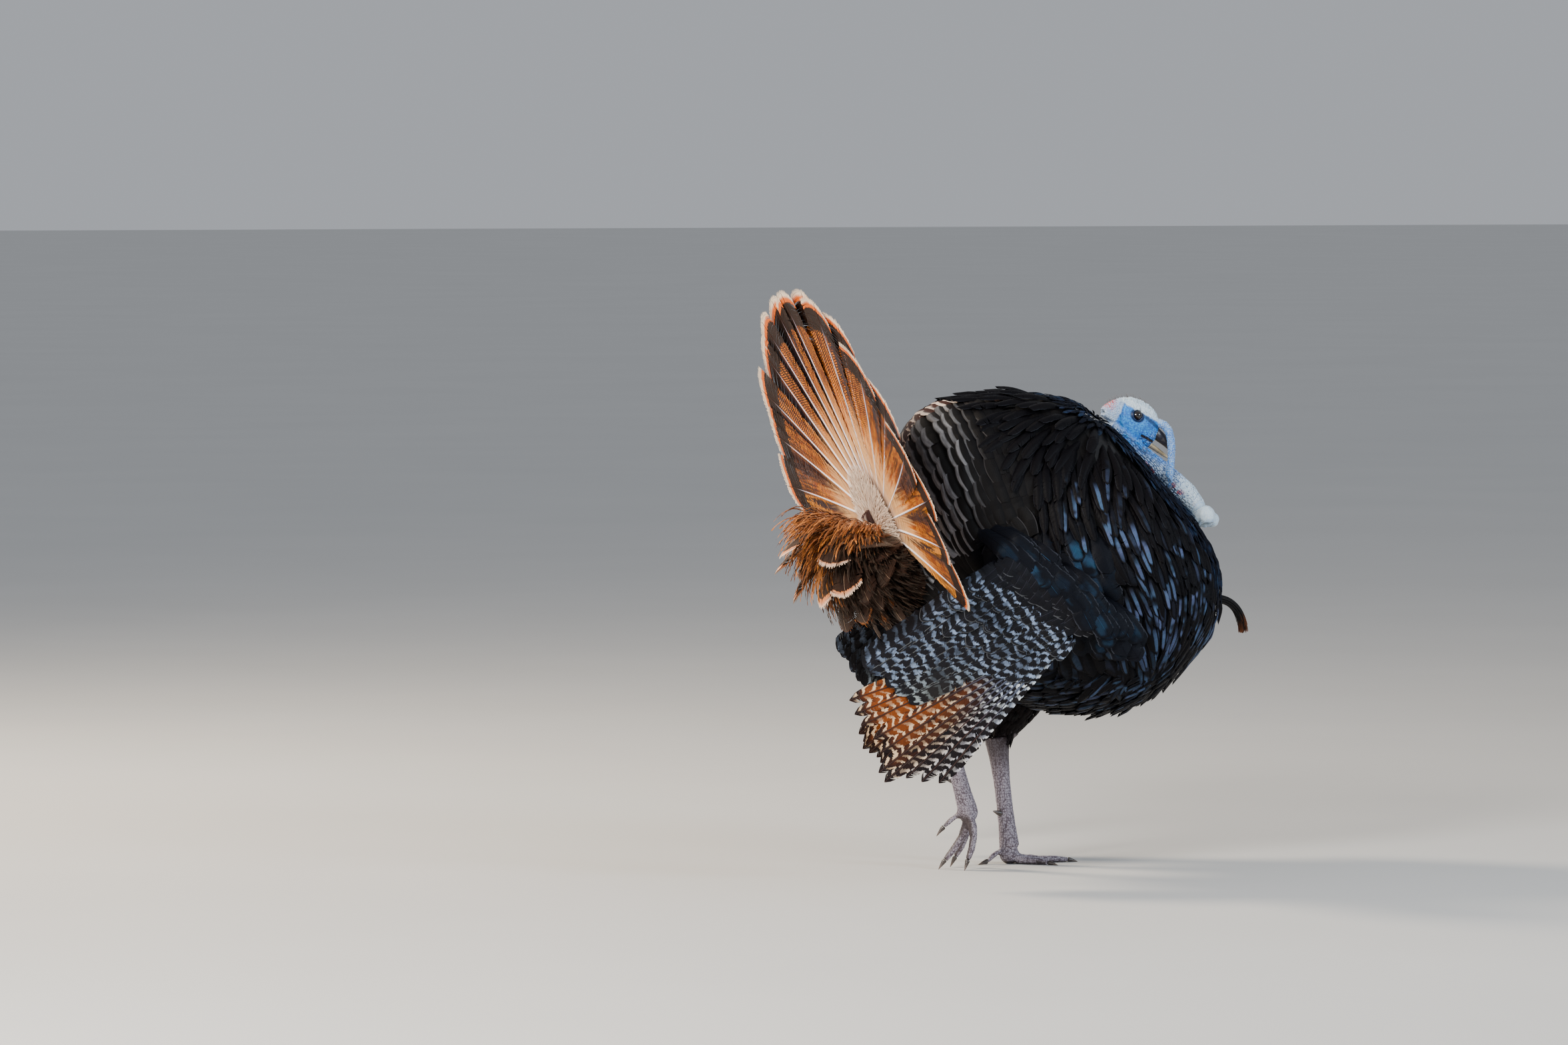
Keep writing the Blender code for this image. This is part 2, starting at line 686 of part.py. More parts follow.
def toe_rows(start, end, radius, bow, flat):
    """Rows along a toe that bows out at its middle. With flat the toe lies on the floor."""
    rows = []
    steps = 5
    for i in range(steps + 1):
        t = i / steps
        knuckle = 1 + 0.10 * math.cos(2 * math.pi * (t * 3 + 0.5))
        r = radius * (1 - 0.40 * t) * knuckle
        p = start.lerp(end, t) + bow * math.sin(math.pi * t)
        rows.append((p.x, p.y, r * 0.90 if flat and t else p.z, r, r * 0.98))
    return rows


def claw(name, tip, way, hint, horn):
    """A curved nail from the toe's end; way is the toe's direction there."""
    rows = []
    for i in range(4):
        t = i / 3
        p = tip + way * (GAP * 2 + CLAW_LENGTH * t) + Vector((0, 0, -0.0030 * t * t))
        rows.append((p.x, p.y, p.z, CLAW_RADIUS * (1.05 - 0.90 * t), CLAW_RADIUS * (0.95 - 0.80 * t)))
    return limb(name, rows, horn, sides=6, count=4, side_hint=hint, floor=True)


def build_foot(side_name, side, ankle, standing, scale_mat, horn):
    """Three toes in front and one behind, in one piece, with a nail in each."""
    pad = Vector((ankle.x, ankle.y, 0.0140)) if standing else ankle
    foot = ball(f"foot_{side_name}", pad, (0.0155, 0.0135, 0.0150), scale_mat)
    for v in foot.data.vertices:
        v.co.z = max(v.co.z, 0.0)
    claws = []
    for toe, (ahead, out, height) in (TOES_STANDING if standing else TOES_TRAILING).items():
        hind = toe == "hind"
        end = Vector((ankle.x + ahead, ankle.y + side * out, height))
        if standing:
            start = pad + Vector((-0.004 if hind else 0.003, 0, 0.004 if hind else -0.003))
            bow = Vector((0, 0, 0.006 if hind else 0.0))
        else:
            start = ankle + Vector((-0.004 if hind else 0.0, side * out * 0.35, 0.002 if hind else -0.004))
            bow = Vector((0, 0, 0.003)) if hind else Vector((0.007, 0, 0))
        radius = TOE_RADIUS * (0.74 if hind else 1.0)
        rows = toe_rows(start, end, radius, bow, standing and not hind)
        tip, before = Vector(rows[-1][:3]), Vector(rows[-2][:3])
        way = (tip - before).normalized()
        if standing:
            way = Vector((way.x, way.y, max(way.z, -0.10))).normalized()
        hint = Vector((0, 1, 0)) if abs(way.y) < 0.3 else Vector((0, 0, 1)).cross(way).normalized()
        piece = limb("toe", rows, scale_mat, sides=6, count=5, side_hint=hint, floor=True)
        combine(foot, piece, "UNION", keep_tool=False)
        claws.append(claw(f"claw_{toe}_{side_name}", tip, way, hint, horn))
    combine(claws[-1], foot, "DIFFERENCE", grow=GAP)
    return foot


def build_leg(side_name, side, leg, standing, mats):
    thigh = build_thigh(f"thigh_{side_name}", leg["hip"], leg["hock"], mats["plumage"])
    shank = build_shank(f"shank_{side_name}", leg["hock"], leg["ankle"], mats["scales"])
    foot = build_foot(side_name, side, leg["ankle"], standing, mats["scales"], mats["horn"])
    combine(shank, foot, "DIFFERENCE", grow=GAP)
    combine(shank, thigh, "DIFFERENCE", grow=GAP)
    base = leg["ankle"].lerp(leg["hock"], 0.30)
    way = Vector((-0.86, -0.42 * side, 0.10)).normalized()
    rows = []
    for i in range(4):
        t = i / 3
        p = base + way * (0.006 + SPUR_LENGTH * t) + Vector((0, 0, 0.003 * t * t))
        r = 0.0062 * (1 - 0.86 * t)
        rows.append((p.x, p.y, p.z, r, r))
    spur = limb(f"spur_{side_name}", rows, mats["horn"], sides=8, count=4, side_hint=Vector((0, 0, 1)).cross(way))
    combine(spur, shank, "DIFFERENCE", grow=GAP)
    return thigh


# ---- the whole bird ------------------------------------------------------------------------
def centre_on_floor():
    """Moves every piece so that the origin is under the middle of the whole outline."""
    bpy.context.view_layer.update()
    points = [o.matrix_world @ v.co for o in TURKEY.objects for v in o.data.vertices]
    shift = Vector(
        (
            -(min(p.x for p in points) + max(p.x for p in points)) / 2,
            -(min(p.y for p in points) + max(p.y for p in points)) / 2,
            -min(p.z for p in points),
        )
    )
    for o in TURKEY.objects:
        o.data.transform(Matrix.Translation(shift))
    return shift


def build():
    mats = {
        "plumage": material("plumage", (0.030, 0.026, 0.030), 0.42),
        "flight": material("flight_feathers", (0.150, 0.105, 0.080), 0.60),
        "tail": material("tail_feathers", (0.260, 0.120, 0.050), 0.60),
        "coverts": material("tail_coverts", (0.170, 0.075, 0.035), 0.65),
        "skin": material("bare_skin", (0.300, 0.430, 0.600), 0.55),
        "pale": material("pale_skin", (0.760, 0.800, 0.830), 0.50),
        "scales": material("leg_scales", (0.430, 0.330, 0.350), 0.55),
        "horn": material("horn", (0.100, 0.080, 0.070), 0.40),
        "eye": material("eye", (0.020, 0.010, 0.006), 0.10),
        "beard": material("beard", (0.040, 0.030, 0.026), 0.60),
    }
    trunk = build_trunk(mats["plumage"])
    pieces, snood = build_head_and_neck(mats["skin"], mats["pale"], mats["horn"], mats["eye"])
    pieces.append(build_leg("left", 1, LEG_LEFT, True, mats))
    pieces.append(build_leg("right", -1, LEG_RIGHT, False, mats))
    tail = build_tail(mats["tail"])
    coverts = build_upper_coverts(mats["coverts"])
    body = part_trunk(trunk)
    for part in body:
        for piece in pieces:
            if not apart(part, piece):
                combine(part, piece, "DIFFERENCE", grow=GAP)
    rows = [(x, 0.0, z, r, r * 1.1) for x, z, r in BEARD_STATIONS]
    beard = limb("beard", rows, mats["beard"], sides=8, count=8)
    for piece in (beard, snood):
        combine(piece, body[0], "DIFFERENCE", grow=GAP)
    puff = build_under_coverts(body[1], mats["coverts"])
    build_tail_base((tail, coverts, puff, body[1]), mats["coverts"])
    build_wing("left", 1, body, mats)
    build_wing("right", -1, body, mats)
    centre_on_floor()


for old in list(bpy.data.objects):
    bpy.data.objects.remove(old, do_unlink=True)
TURKEY = collection("wild_turkey")
CUTTERS = collection("cutters")
CUTTERS.hide_render = True
TRUNK_TABLE = spline(TRUNK_STATIONS, 97)
build()
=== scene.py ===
"""The looks of a still, life-size wild turkey in strut: one skin over the flesh, then every feather."""
import math

import bmesh
import bpy
import numpy as np
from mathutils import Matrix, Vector, noise


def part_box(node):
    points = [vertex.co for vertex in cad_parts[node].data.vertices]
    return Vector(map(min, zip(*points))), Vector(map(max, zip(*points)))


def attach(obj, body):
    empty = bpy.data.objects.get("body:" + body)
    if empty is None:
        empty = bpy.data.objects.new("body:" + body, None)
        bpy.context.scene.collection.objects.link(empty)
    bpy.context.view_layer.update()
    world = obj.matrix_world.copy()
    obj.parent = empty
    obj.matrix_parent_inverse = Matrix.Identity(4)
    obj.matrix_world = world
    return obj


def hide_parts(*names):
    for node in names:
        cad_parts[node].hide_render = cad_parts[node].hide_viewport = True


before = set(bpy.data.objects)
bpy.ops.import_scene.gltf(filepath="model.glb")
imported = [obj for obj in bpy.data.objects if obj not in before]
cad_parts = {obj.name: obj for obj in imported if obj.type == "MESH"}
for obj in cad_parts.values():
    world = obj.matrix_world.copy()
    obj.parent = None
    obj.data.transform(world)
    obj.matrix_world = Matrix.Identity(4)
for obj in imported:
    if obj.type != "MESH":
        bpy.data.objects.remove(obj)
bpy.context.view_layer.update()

# ---- sizes and places ----------------------------------------------------------------------
# Metres, X ahead, Y to the left, Z up. Places are given from a point on the floor near the
# standing ankle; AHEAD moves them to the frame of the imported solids.
EYE_X, EYE_Y = 0.19969, 0.0155
eye_low, eye_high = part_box("eye_left")
AHEAD = np.array([(eye_low.x + eye_high.x) / 2 - EYE_X, 0.0, 0.0])
EYE_RADIUS = 0.0085
EYE_FORWARD, EYE_RAISE = -0.0055, 0.0065  # from the head's middle

TRUNK_STATIONS = [  # x, top, bottom, half width
    (-0.160, 0.618, 0.436, 0.042), (-0.154, 0.648, 0.402, 0.088), (-0.137, 0.674, 0.358, 0.128),
    (-0.105, 0.694, 0.324, 0.157), (-0.040, 0.706, 0.276, 0.182), (0.030, 0.711, 0.246, 0.196),
    (0.095, 0.702, 0.233, 0.202), (0.150, 0.668, 0.236, 0.200), (0.200, 0.612, 0.252, 0.188),
    (0.245, 0.563, 0.285, 0.164), (0.285, 0.528, 0.318, 0.128), (0.308, 0.500, 0.342, 0.094),
    (0.322, 0.462, 0.372, 0.052),
]
TRUNK_POWER = 2.15
TRUNK_WIDEST = 0.47

HEAD_CENTRE = np.array([0.2015, 0.0, 0.667])
HEAD_PITCH = math.radians(-28)
HEAD_AHEAD = np.array([math.cos(HEAD_PITCH), 0, math.sin(HEAD_PITCH)])
HEAD_UP = np.array([-math.sin(HEAD_PITCH), 0, math.cos(HEAD_PITCH)])
BILL_UPPER = [  # along the head, height of the middle, half height, half width
    (0.0370, -0.0045, 0.0120, 0.0100), (0.0500, -0.0065, 0.0105, 0.0090), (0.0610, -0.0090, 0.0085, 0.0074),
    (0.0710, -0.0130, 0.0064, 0.0054), (0.0785, -0.0175, 0.0040, 0.0032), (0.0825, -0.0215, 0.0014, 0.0013),
]
BILL_LOWER = [
    (0.0370, -0.0208, 0.0048, 0.0090), (0.0520, -0.0225, 0.0042, 0.0076), (0.0640, -0.0242, 0.0033, 0.0054),
    (0.0745, -0.0256, 0.0016, 0.0024),
]
NECK_LINE = np.array([  # the middle of the bare neck, from the head down to the breast
    (0.164, 0, 0.664), (0.186, 0, 0.642), (0.210, 0, 0.622), (0.231, 0, 0.604), (0.250, 0, 0.588),
    (0.265, 0, 0.571), (0.282, 0, 0.554), (0.298, 0, 0.536), (0.305, 0, 0.526),
])
SNOOD_LINE = np.array([  # from the forehead over the right side of the bill and down
    (0.237, -0.001, 0.665), (0.244, -0.006, 0.661), (0.251, -0.013, 0.650), (0.253, -0.019, 0.632),
    (0.251, -0.025, 0.608), (0.248, -0.029, 0.582), (0.2465, -0.030, 0.558),
])
BEARD_LINE = [  # x, z, radius
    (0.312, 0.3995, 0.0050), (0.336, 0.3960, 0.0060), (0.352, 0.3900, 0.0060), (0.364, 0.3780, 0.0058),
    (0.371, 0.3620, 0.0056), (0.374, 0.3440, 0.0060),
]

TAIL_ROOT = np.array([-0.190, 0.0, 0.517])
TAIL_LEAN = math.radians(22.8)
TAIL_UP = np.array([-math.sin(TAIL_LEAN), 0, math.cos(TAIL_LEAN)])
TAIL_FORWARD = np.array([math.cos(TAIL_LEAN), 0, math.sin(TAIL_LEAN)])
TAIL_FEATHERS = 18
TAIL_LENGTH = 0.388
TAIL_HALF_SPREAD = math.radians(112)
TAIL_SWEEP = 0.018
TAIL_TWIST = 0.026
TAIL_ROOT_RADIUS = 0.026
UNDER_COVERT_START = TAIL_ROOT + np.array([-0.010, 0, -0.010])

WINGS = {
    "right": {
        "side": -1, "wrist": (0.039, 0.365), "flare": 0.20,
        "primary_dips": [44.5, 40.0, 35.0, 30.5, 26.0, 21.5, 16.5, 11.5],
        "primary_lengths": [0.308, 0.338, 0.366, 0.384, 0.366, 0.374, 0.378, 0.372],
        "arm": ((0.020, 0.362), (-0.106, 0.450)),
        "secondary_dips": (22.0, 33.0), "secondary_lengths": (0.262, 0.232),
    },
    "left": {
        "side": 1, "wrist": (0.102, 0.365), "flare": 0.10,
        "primary_dips": [49.0, 46.5, 44.0, 41.5, 39.0, 36.5, 34.5, 32.5],
        "primary_lengths": [0.285, 0.305, 0.322, 0.335, 0.340, 0.342, 0.338, 0.332],
        "arm": ((0.083, 0.364), (-0.048, 0.454)),
        "secondary_dips": (34.0, 44.0), "secondary_lengths": (0.262, 0.214),
    },
}
WING_REST = 0.205
WING_CLEAR = 0.006

LEGS = {
    "left": {
        "hip": (0.050, 0.070, 0.318), "hock": (-0.004, 0.036, 0.190), "ankle": (0.012, 0.022, 0.026),
    },
    "right": {
        "hip": (-0.010, -0.072, 0.345), "hock": (-0.116, -0.046, 0.242), "ankle": (-0.070, -0.040, 0.084),
    },
}
THIGH_RADII = [0.060, 0.050, 0.036, 0.024]

TRUNK_NODES = ["breast", "back", "belly", "rump", "tail_base", "thigh_left", "thigh_right"]
BARE_NODES = ["head", "neck", "shank_left", "shank_right", "foot_left", "foot_right", "snood",
              "caruncle_left", "caruncle_right", "caruncle_front"]
CARUNCLE_BALLS = [(np.array([0.3045, -0.0185, 0.5245]), 0.0172), (np.array([0.3050, 0.0170, 0.5200]), 0.0145),
                  (np.array([0.3235, 0.0010, 0.5160]), 0.0115)]
SKIN_VOXEL = 0.0022
LEGS_TOP, NECK_LOW = 0.30, 0.40  # bare skin is a leg's below the first, the neck's above the second
HIDDEN_KEPT = 0.16  # of the skin's faces where feathers hide them
SKIN_ROUNDS, JOIN_ROUNDS = 6, 34  # of smoothing all over, and where the ankles' solids meet
COAT_DEPTH = 0.008  # how far the skin lies inside the outline under the breast's feathers
BACK_DEPTH = 0.019  # and under the raised feathers of the back
HOLLOW_DEPTH = 0.011  # how much lower skin and feathers lie beside the caruncles


# ---- small sums ----------------------------------------------------------------------------
def unit(v):
    return v / np.maximum(np.linalg.norm(v, axis=-1, keepdims=True), 1e-12)


def dot(a, b):
    return np.sum(a * b, axis=-1, keepdims=True)


def mix(a, b, t):
    return a + (b - a) * t


def smooth(low, high, x):
    t = np.clip((x - low) / (high - low), 0.0, 1.0)
    return t * t * (3 - 2 * t)


def spline(rows, count):
    """count rows on the Catmull-Rom curve through rows."""
    rows = np.asarray(rows, float)
    last = len(rows) - 1
    at = np.linspace(0, last, count)
    k = np.minimum(at.astype(int), last - 1)
    t = (at - k)[:, None]
    a, b, c, d = (rows[np.clip(k + j, 0, last)] for j in (-1, 0, 1, 2))
    return 0.5 * (2 * b + (c - a) * t + (2 * a - 5 * b + 4 * c - d) * t**2
                  + (3 * b - a - 3 * c + d) * t**3)


def table_at(values, s):
    """Values spaced evenly from 0 to 1, read at s."""
    return np.interp(s, np.linspace(0, 1, len(values)), values)


def chaos(points, size):
    """Soft noise from -1 to 1 at each point, with features about size across."""
    return np.array([noise.noise(Vector(p)) for p in points / size]) * 1.6


def cells(points, seed=0):
    """Distances to the nearest and the second nearest of scattered seeds, one in each unit cube."""
    base = np.floor(points).astype(np.int64)
    first = np.full(len(points), 9.0)
    second = first.copy()
    for dx in (-1, 0, 1):
        for dy in (-1, 0, 1):
            for dz in (-1, 0, 1):
                c = base + (dx, dy, dz)
                h = (c[:, 0] * 73856093) ^ (c[:, 1] * 19349663) ^ (c[:, 2] * 83492791) ^ (seed * 2654435)
                jitter = np.stack([((h * m) >> 9) % 1024 / 1024.0 for m in (1, 40503, 69621)], -1)
                d = np.linalg.norm(c + 0.15 + 0.7 * jitter - points, axis=1)
                second = np.minimum(second, np.maximum(d, first))
                first = np.minimum(first, d)
    return first, second


# ---- the trunk's surface, which the body feathers lie on -------------------------------------
FRONT_CLOSE = [(0.327, 0.442, 0.388, 0.030), (0.330, 0.420, 0.408, 0.008)]
REAR_CLOSE = [(-0.168, 0.540, 0.510, 0.008), (-0.165, 0.585, 0.470, 0.026)]
TRUNK_TABLE = np.vstack([REAR_CLOSE, spline(TRUNK_STATIONS, 17), FRONT_CLOSE])


def trunk_level(p):
    """0 on the trunk's surface, less inside it and more outside."""
    top, bottom, half = (np.interp(p[..., 0], TRUNK_TABLE[:, 0], TRUNK_TABLE[:, i]) for i in (1, 2, 3))
    middle = bottom + TRUNK_WIDEST * (top - bottom)
    reach = np.where(p[..., 2] > middle, top - middle, middle - bottom)
    level = (np.abs(p[..., 1]) / half) ** TRUNK_POWER + (np.abs(p[..., 2] - middle) / reach) ** TRUNK_POWER
    beyond = np.maximum(TRUNK_TABLE[0, 0] - p[..., 0], 0) + np.maximum(p[..., 0] - TRUNK_TABLE[-1, 0], 0)
    return level ** (1 / TRUNK_POWER) - 1 + beyond * 20


def trunk_slope(p):
    """How fast the trunk's level grows along each axis."""
    step = 0.002
    sides = [trunk_level(p + step * axis) - trunk_level(p - step * axis) for axis in np.eye(3)]
    return np.stack(sides, -1) / (2 * step)


def onto_trunk(p, times=4):
    """The places moved to the trunk's surface, and the way out of it there."""
    for _ in range(times):
        slope = trunk_slope(p)
        move = slope * (trunk_level(p)[..., None] / np.maximum(dot(slope, slope), 1.0))
        p = p - np.clip(move, -0.02, 0.02)
    return p, unit(trunk_slope(p))


def trunk_half_width(x, z):
    top, bottom, half = (np.interp(x, TRUNK_TABLE[2:-2, 0], TRUNK_TABLE[2:-2, i]) for i in (1, 2, 3))
    middle = bottom + TRUNK_WIDEST * (top - bottom)
    reach = np.where(z > middle, top - middle, middle - bottom)
    share = np.abs(z - middle) / reach
    inside = (share < 1) & (x >= TRUNK_TABLE[2, 0]) & (x <= TRUNK_TABLE[-3, 0])
    return np.where(inside, half * np.maximum(1 - share**TRUNK_POWER, 0) ** (1 / TRUNK_POWER), 0.0)


# ---- meshes --------------------------------------------------------------------------------
def piece(name, places, faces, made_of, replaces, fields, maps=None):
    """A piece of the bird from places and faces with equal numbers of corners; it rides on the root."""
    mesh = bpy.data.meshes.new(name)
    mesh.vertices.add(len(places))
    mesh.vertices.foreach_set("co", (places + AHEAD).astype(np.float32).ravel())
    faces = np.asarray(faces)
    mesh.loops.add(faces.size)
    mesh.loops.foreach_set("vertex_index", faces.ravel().astype(np.int32))
    mesh.polygons.add(len(faces))
    mesh.polygons.foreach_set("loop_start", np.arange(0, faces.size, faces.shape[1], dtype=np.int32))
    mesh.update(calc_edges=True)
    for field, values in fields.items():
        vector = values.ndim == 2
        made = mesh.attributes.new(field, "FLOAT_VECTOR" if vector else "FLOAT", "POINT")
        made.data.foreach_set("vector" if vector else "value", values.astype(np.float32).ravel())
    for label, uv in (maps or {}).items():
        layer = mesh.uv_layers.new(name=label)
        layer.uv.foreach_set("vector", uv[faces.ravel()].astype(np.float32).ravel())
    mesh.materials.append(made_of)
    mesh.shade_smooth()
    obj = bpy.data.objects.new(name, mesh)
    bpy.context.scene.collection.objects.link(obj)
    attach(obj, "root")
    if replaces:
        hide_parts(*replaces)
    return obj


def rows_at(rows, q):
    """rows (feather, row, ...) read at the fractional rows q (feather, place)."""
    last = rows.shape[1] - 1
    k = np.clip(q.astype(int), 0, last - 1)
    f = q - k
    i = np.arange(rows.shape[0])[:, None]
    a, b = rows[i, k], rows[i, k + 1]
    f = f.reshape(f.shape + (1,) * (a.ndim - 2))
    return a + (b - a) * f


def tube_quads(no):
    """Quads of open tubes whose points are numbered by tube, row and side."""
    nxt = np.roll(no, -1, axis=2)
    return np.stack([no[:, :-1], nxt[:, :-1], nxt[:, 1:], no[:, 1:]], -1)


class Coat:
    """Feathers gathered into one mesh. Each has a shaft line, and bundles of barbs that lean to the tip."""

    def __init__(self, seed):
        self.rng = np.random.default_rng(seed)
        self.places, self.faces = [], []
        self.fields = {"plume": [], "lot": [], "shaft": [], "tone": [], "pale": [], "vane_across": []}
        self.maps = {"vane": [], "OFBake": []}
        self.count = 0

    def _keep(self, places, faces, vane, bake, **fields):
        self.places.append(places.reshape(-1, 3))
        self.faces.append(faces.reshape(-1, 4) + self.count)
        fields["vane_across"] = vane[..., 0] * 2 - 1
        for key, values in fields.items():
            self.fields[key].append(values.reshape((-1, 3) if key == "plume" else (-1,)))
        self.maps["vane"].append(vane.reshape(-1, 2))
        self.maps["OFBake"].append(bake.reshape(-1, 2))
        self.count += len(self.places[-1])

    def add(self, spine, out, half, at, patch=(0.003, 0.003), lean=1.6, cup=0.25, blunt=0.8, fray=0.06,
            gaps=0.2, gap_depth=0.6, columns=2, relief=0.0002, quill=None, tone=1.0, pale=0.0, roll=None,
            fringe=0, fringe_length=0.008):
        """spine (n, rows+1, 3), out the way off the body there, half (n, rows+1, 2) the two vanes' widths.
        at (n, 2) is each feather's place on the coat's map, and patch its size there."""
        rng = self.rng
        n, rows = spine.shape[0], spine.shape[1] - 1
        tangent = unit(np.gradient(spine, axis=1))
        out = unit(out - tangent * dot(out, tangent))
        side = np.cross(tangent, out)
        if roll is not None:
            c, s = np.cos(roll), np.sin(roll)
            out, side = out * c + side * s, side * c - out * s
        steps = np.linalg.norm(np.diff(spine, axis=1), axis=-1)
        along = np.concatenate([np.zeros((n, 1)), np.cumsum(steps, axis=1)], axis=1)
        lot = rng.random(n)
        ends = np.stack([np.arange(rows), np.arange(1, rows + 1)], -1)[None, None, :, None, :]
        c = (np.arange(1, columns + 1) / columns)[None, None, None, :, None]
        share = ends / rows
        q = ends + lean * c * (1 - share**2) - blunt * c**2 * share**3
        shape = (n, 2, rows, columns, 2)
        q = np.broadcast_to(q, shape).copy()
        slit = (rng.random((n, 2, rows)) < gaps) * rng.random((n, 2, rows)) * gap_depth
        q[..., 1] -= slit[..., None] * c[..., 0] ** 2
        q[..., 0] += (slit * 0.3)[..., None] * c[..., 0] ** 2
        q = np.clip(q, 0, rows)
        flat = q.reshape(n, -1)
        sign = np.array([-1.0, 1.0])[None, :, None, None, None]
        widths = rows_at(half, flat).reshape(shape + (2,))
        width = np.where(sign > 0, widths[..., 1], widths[..., 0])
        stretch = 1 + fray * rng.standard_normal((n, 2, rows))[..., None, None] * c
        lift = relief * rng.standard_normal((n, 2, rows))[..., None, None] * c
        reach = width * c * stretch
        p = rows_at(spine, flat).reshape(shape + (3,))
        s = rows_at(side, flat).reshape(shape + (3,))
        o = rows_at(out, flat).reshape(shape + (3,))
        p = p + s * (sign * reach)[..., None] + o * (lift - cup * c * reach)[..., None]
        a = rows_at(along, flat).reshape(shape)
        across = np.broadcast_to(sign * reach, shape)
        end = rows_at(along, np.broadcast_to(rows - blunt * c**2, shape).reshape(n, -1)).reshape(shape)
        bar = np.stack([across, a, np.maximum(end - a, 0)], -1)
        vane = np.stack([0.5 + 0.5 * np.broadcast_to(sign * c, shape), q / rows], -1)
        spine_run = np.broadcast_to(np.arange(rows + 1) / rows, (n, rows + 1))
        spine_vane = np.stack([np.full((n, rows + 1), 0.5), spine_run], -1)
        spine_bar = np.stack([np.zeros((n, rows + 1)), along, along[:, -1:] - along], -1)
        place = np.asarray(at, float)
        patch = np.asarray(patch, float)

        def on_map(v):
            return place.reshape((n,) + (1,) * (v.ndim - 2) + (2,)) + v * patch

        def each(values, c_here, run):
            """A field's values at the given points: a number, one a feather, or a rule for each point."""
            feather = np.arange(n).reshape((n,) + (1,) * (run.ndim - 1))
            if callable(values):
                return np.broadcast_to(values(c_here, run, feather), run.shape)
            return np.broadcast_to((np.ones(n) * values)[feather], run.shape)

        spine_no = np.arange(n * (rows + 1)).reshape(n, rows + 1)
        barb_no = n * (rows + 1) + np.arange(p[..., 0].size).reshape(shape)
        quads = []
        for k, flip in ((0, True), (1, False)):
            rings = [[spine_no[:, :-1], barb_no[:, k, :, 0, 0], barb_no[:, k, :, 0, 1], spine_no[:, 1:]]]
            rings += [[barb_no[:, k, :, m, 0], barb_no[:, k, :, m + 1, 0], barb_no[:, k, :, m + 1, 1],
                       barb_no[:, k, :, m, 1]] for m in range(columns - 1)]
            quads += [np.stack(ring[::-1] if flip else ring, -1).reshape(-1, 4) for ring in rings]
        zero = np.zeros((n, rows + 1))

        def both(a_field, b_field, tail=()):
            return np.concatenate([a_field.reshape((-1,) + tail), b_field.reshape((-1,) + tail)])

        self._keep(both(spine, p, (3,)), np.concatenate(quads), both(spine_vane, vane, (2,)),
                   both(on_map(spine_vane), on_map(vane), (2,)), plume=both(spine_bar, bar, (3,)),
                   lot=both(np.repeat(lot[:, None], rows + 1, 1),
                            np.broadcast_to(lot[:, None, None, None, None], shape)),
                   shaft=np.zeros(n * (rows + 1) + a.size),
                   tone=both(each(tone, zero, spine_run), each(tone, sign * c, vane[..., 1])),
                   pale=both(each(pale, zero, spine_run), each(pale, sign * c, vane[..., 1])))
        if quill is not None:
            self._quill(spine, side, out, quill, lot, spine_bar, spine_vane, on_map(spine_vane))
        if fringe:
            glow = np.zeros(n) if callable(pale) else np.ones(n) * pale
            self._fringe(spine, tangent, side, out, half, along, lot, on_map, fringe, fringe_length, blunt,
                         cup, glow)
        return self

    def _quill(self, spine, side, out, radii, lot, bar, vane, bake):
        """The shaft, a tapering tube of six sides along the middle of each feather."""
        n, rows = spine.shape[:2]
        sides = 6
        a = np.arange(sides) * 2 * math.pi / sides
        ring = side[:, :, None] * np.cos(a)[:, None] + out[:, :, None] * np.sin(a)[:, None]
        p = spine[:, :, None] + ring * radii[:, :, None, None]
        no = np.arange(n * rows * sides).reshape(n, rows, sides)
        quads = tube_quads(no)

        def around(v):
            return np.repeat(v.reshape((n, rows, 1) + v.shape[2:]), sides, axis=2)

        spread = around(bake)
        spread[..., 0] += 0.00002 * np.cos(a)
        self._keep(p, quads, around(vane), spread, plume=around(bar),
                   lot=around(np.repeat(lot[:, None], rows, 1)), shaft=np.ones(no.shape),
                   tone=np.ones(no.shape), pale=np.zeros(no.shape))

    def _fringe(self, spine, tangent, side, out, half, along, lot, on_map, count, length, blunt, cup, glow):
        """Loose barb ends past the rim of each tip, thin slivers that fan out a little."""
        rng = self.rng
        n, rows = spine.shape[0], spine.shape[1] - 1
        s = np.linspace(-0.98, 0.98, count)[None] + rng.normal(0, 0.4 / count, (n, count))
        q = np.clip(rows - (blunt + 0.15) * s**2 - 0.5, 0, rows)
        wide = rows_at(half, q)
        wide = np.where(s > 0, wide[..., 1], wide[..., 0])
        root = rows_at(spine, q) + rows_at(side, q) * (s * wide)[..., None]
        root = root - rows_at(out, q) * (cup * np.abs(s) * wide)[..., None]
        way = unit(rows_at(tangent, q)
                   + rows_at(side, q) * (0.55 * s + rng.normal(0, 0.10, s.shape))[..., None]
                   + rows_at(out, q) * rng.normal(0, 0.10, s.shape)[..., None])
        reach = length * (0.55 + 0.45 * rng.random(s.shape)) * (1 - 0.25 * s**2)
        thick = 1.15 * wide.mean() * 2 / count
        across = unit(np.cross(way, rows_at(out, q)))
        t = np.array([0.0, 0.55, 1.0])
        taper = np.array([1.0, 0.85, 0.25])
        p = root[:, :, None] + way[:, :, None] * (reach[..., None] * t)[..., None]
        p = np.stack([p + across[:, :, None] * (thick * 0.5 * k * taper)[None, None, :, None]
                      for k in (-1, 1)], 3)
        no = np.arange(p[..., 0].size).reshape(p.shape[:-1])
        quads = np.stack([no[:, :, :-1, 0], no[:, :, :-1, 1], no[:, :, 1:, 1], no[:, :, 1:, 0]], -1)
        shape = no.shape
        full = np.ones(shape)
        bar = np.stack([full * (s * wide)[..., None, None], full * rows_at(along, q)[..., None, None],
                        -full * (reach[..., None] * t)[..., None]], -1)
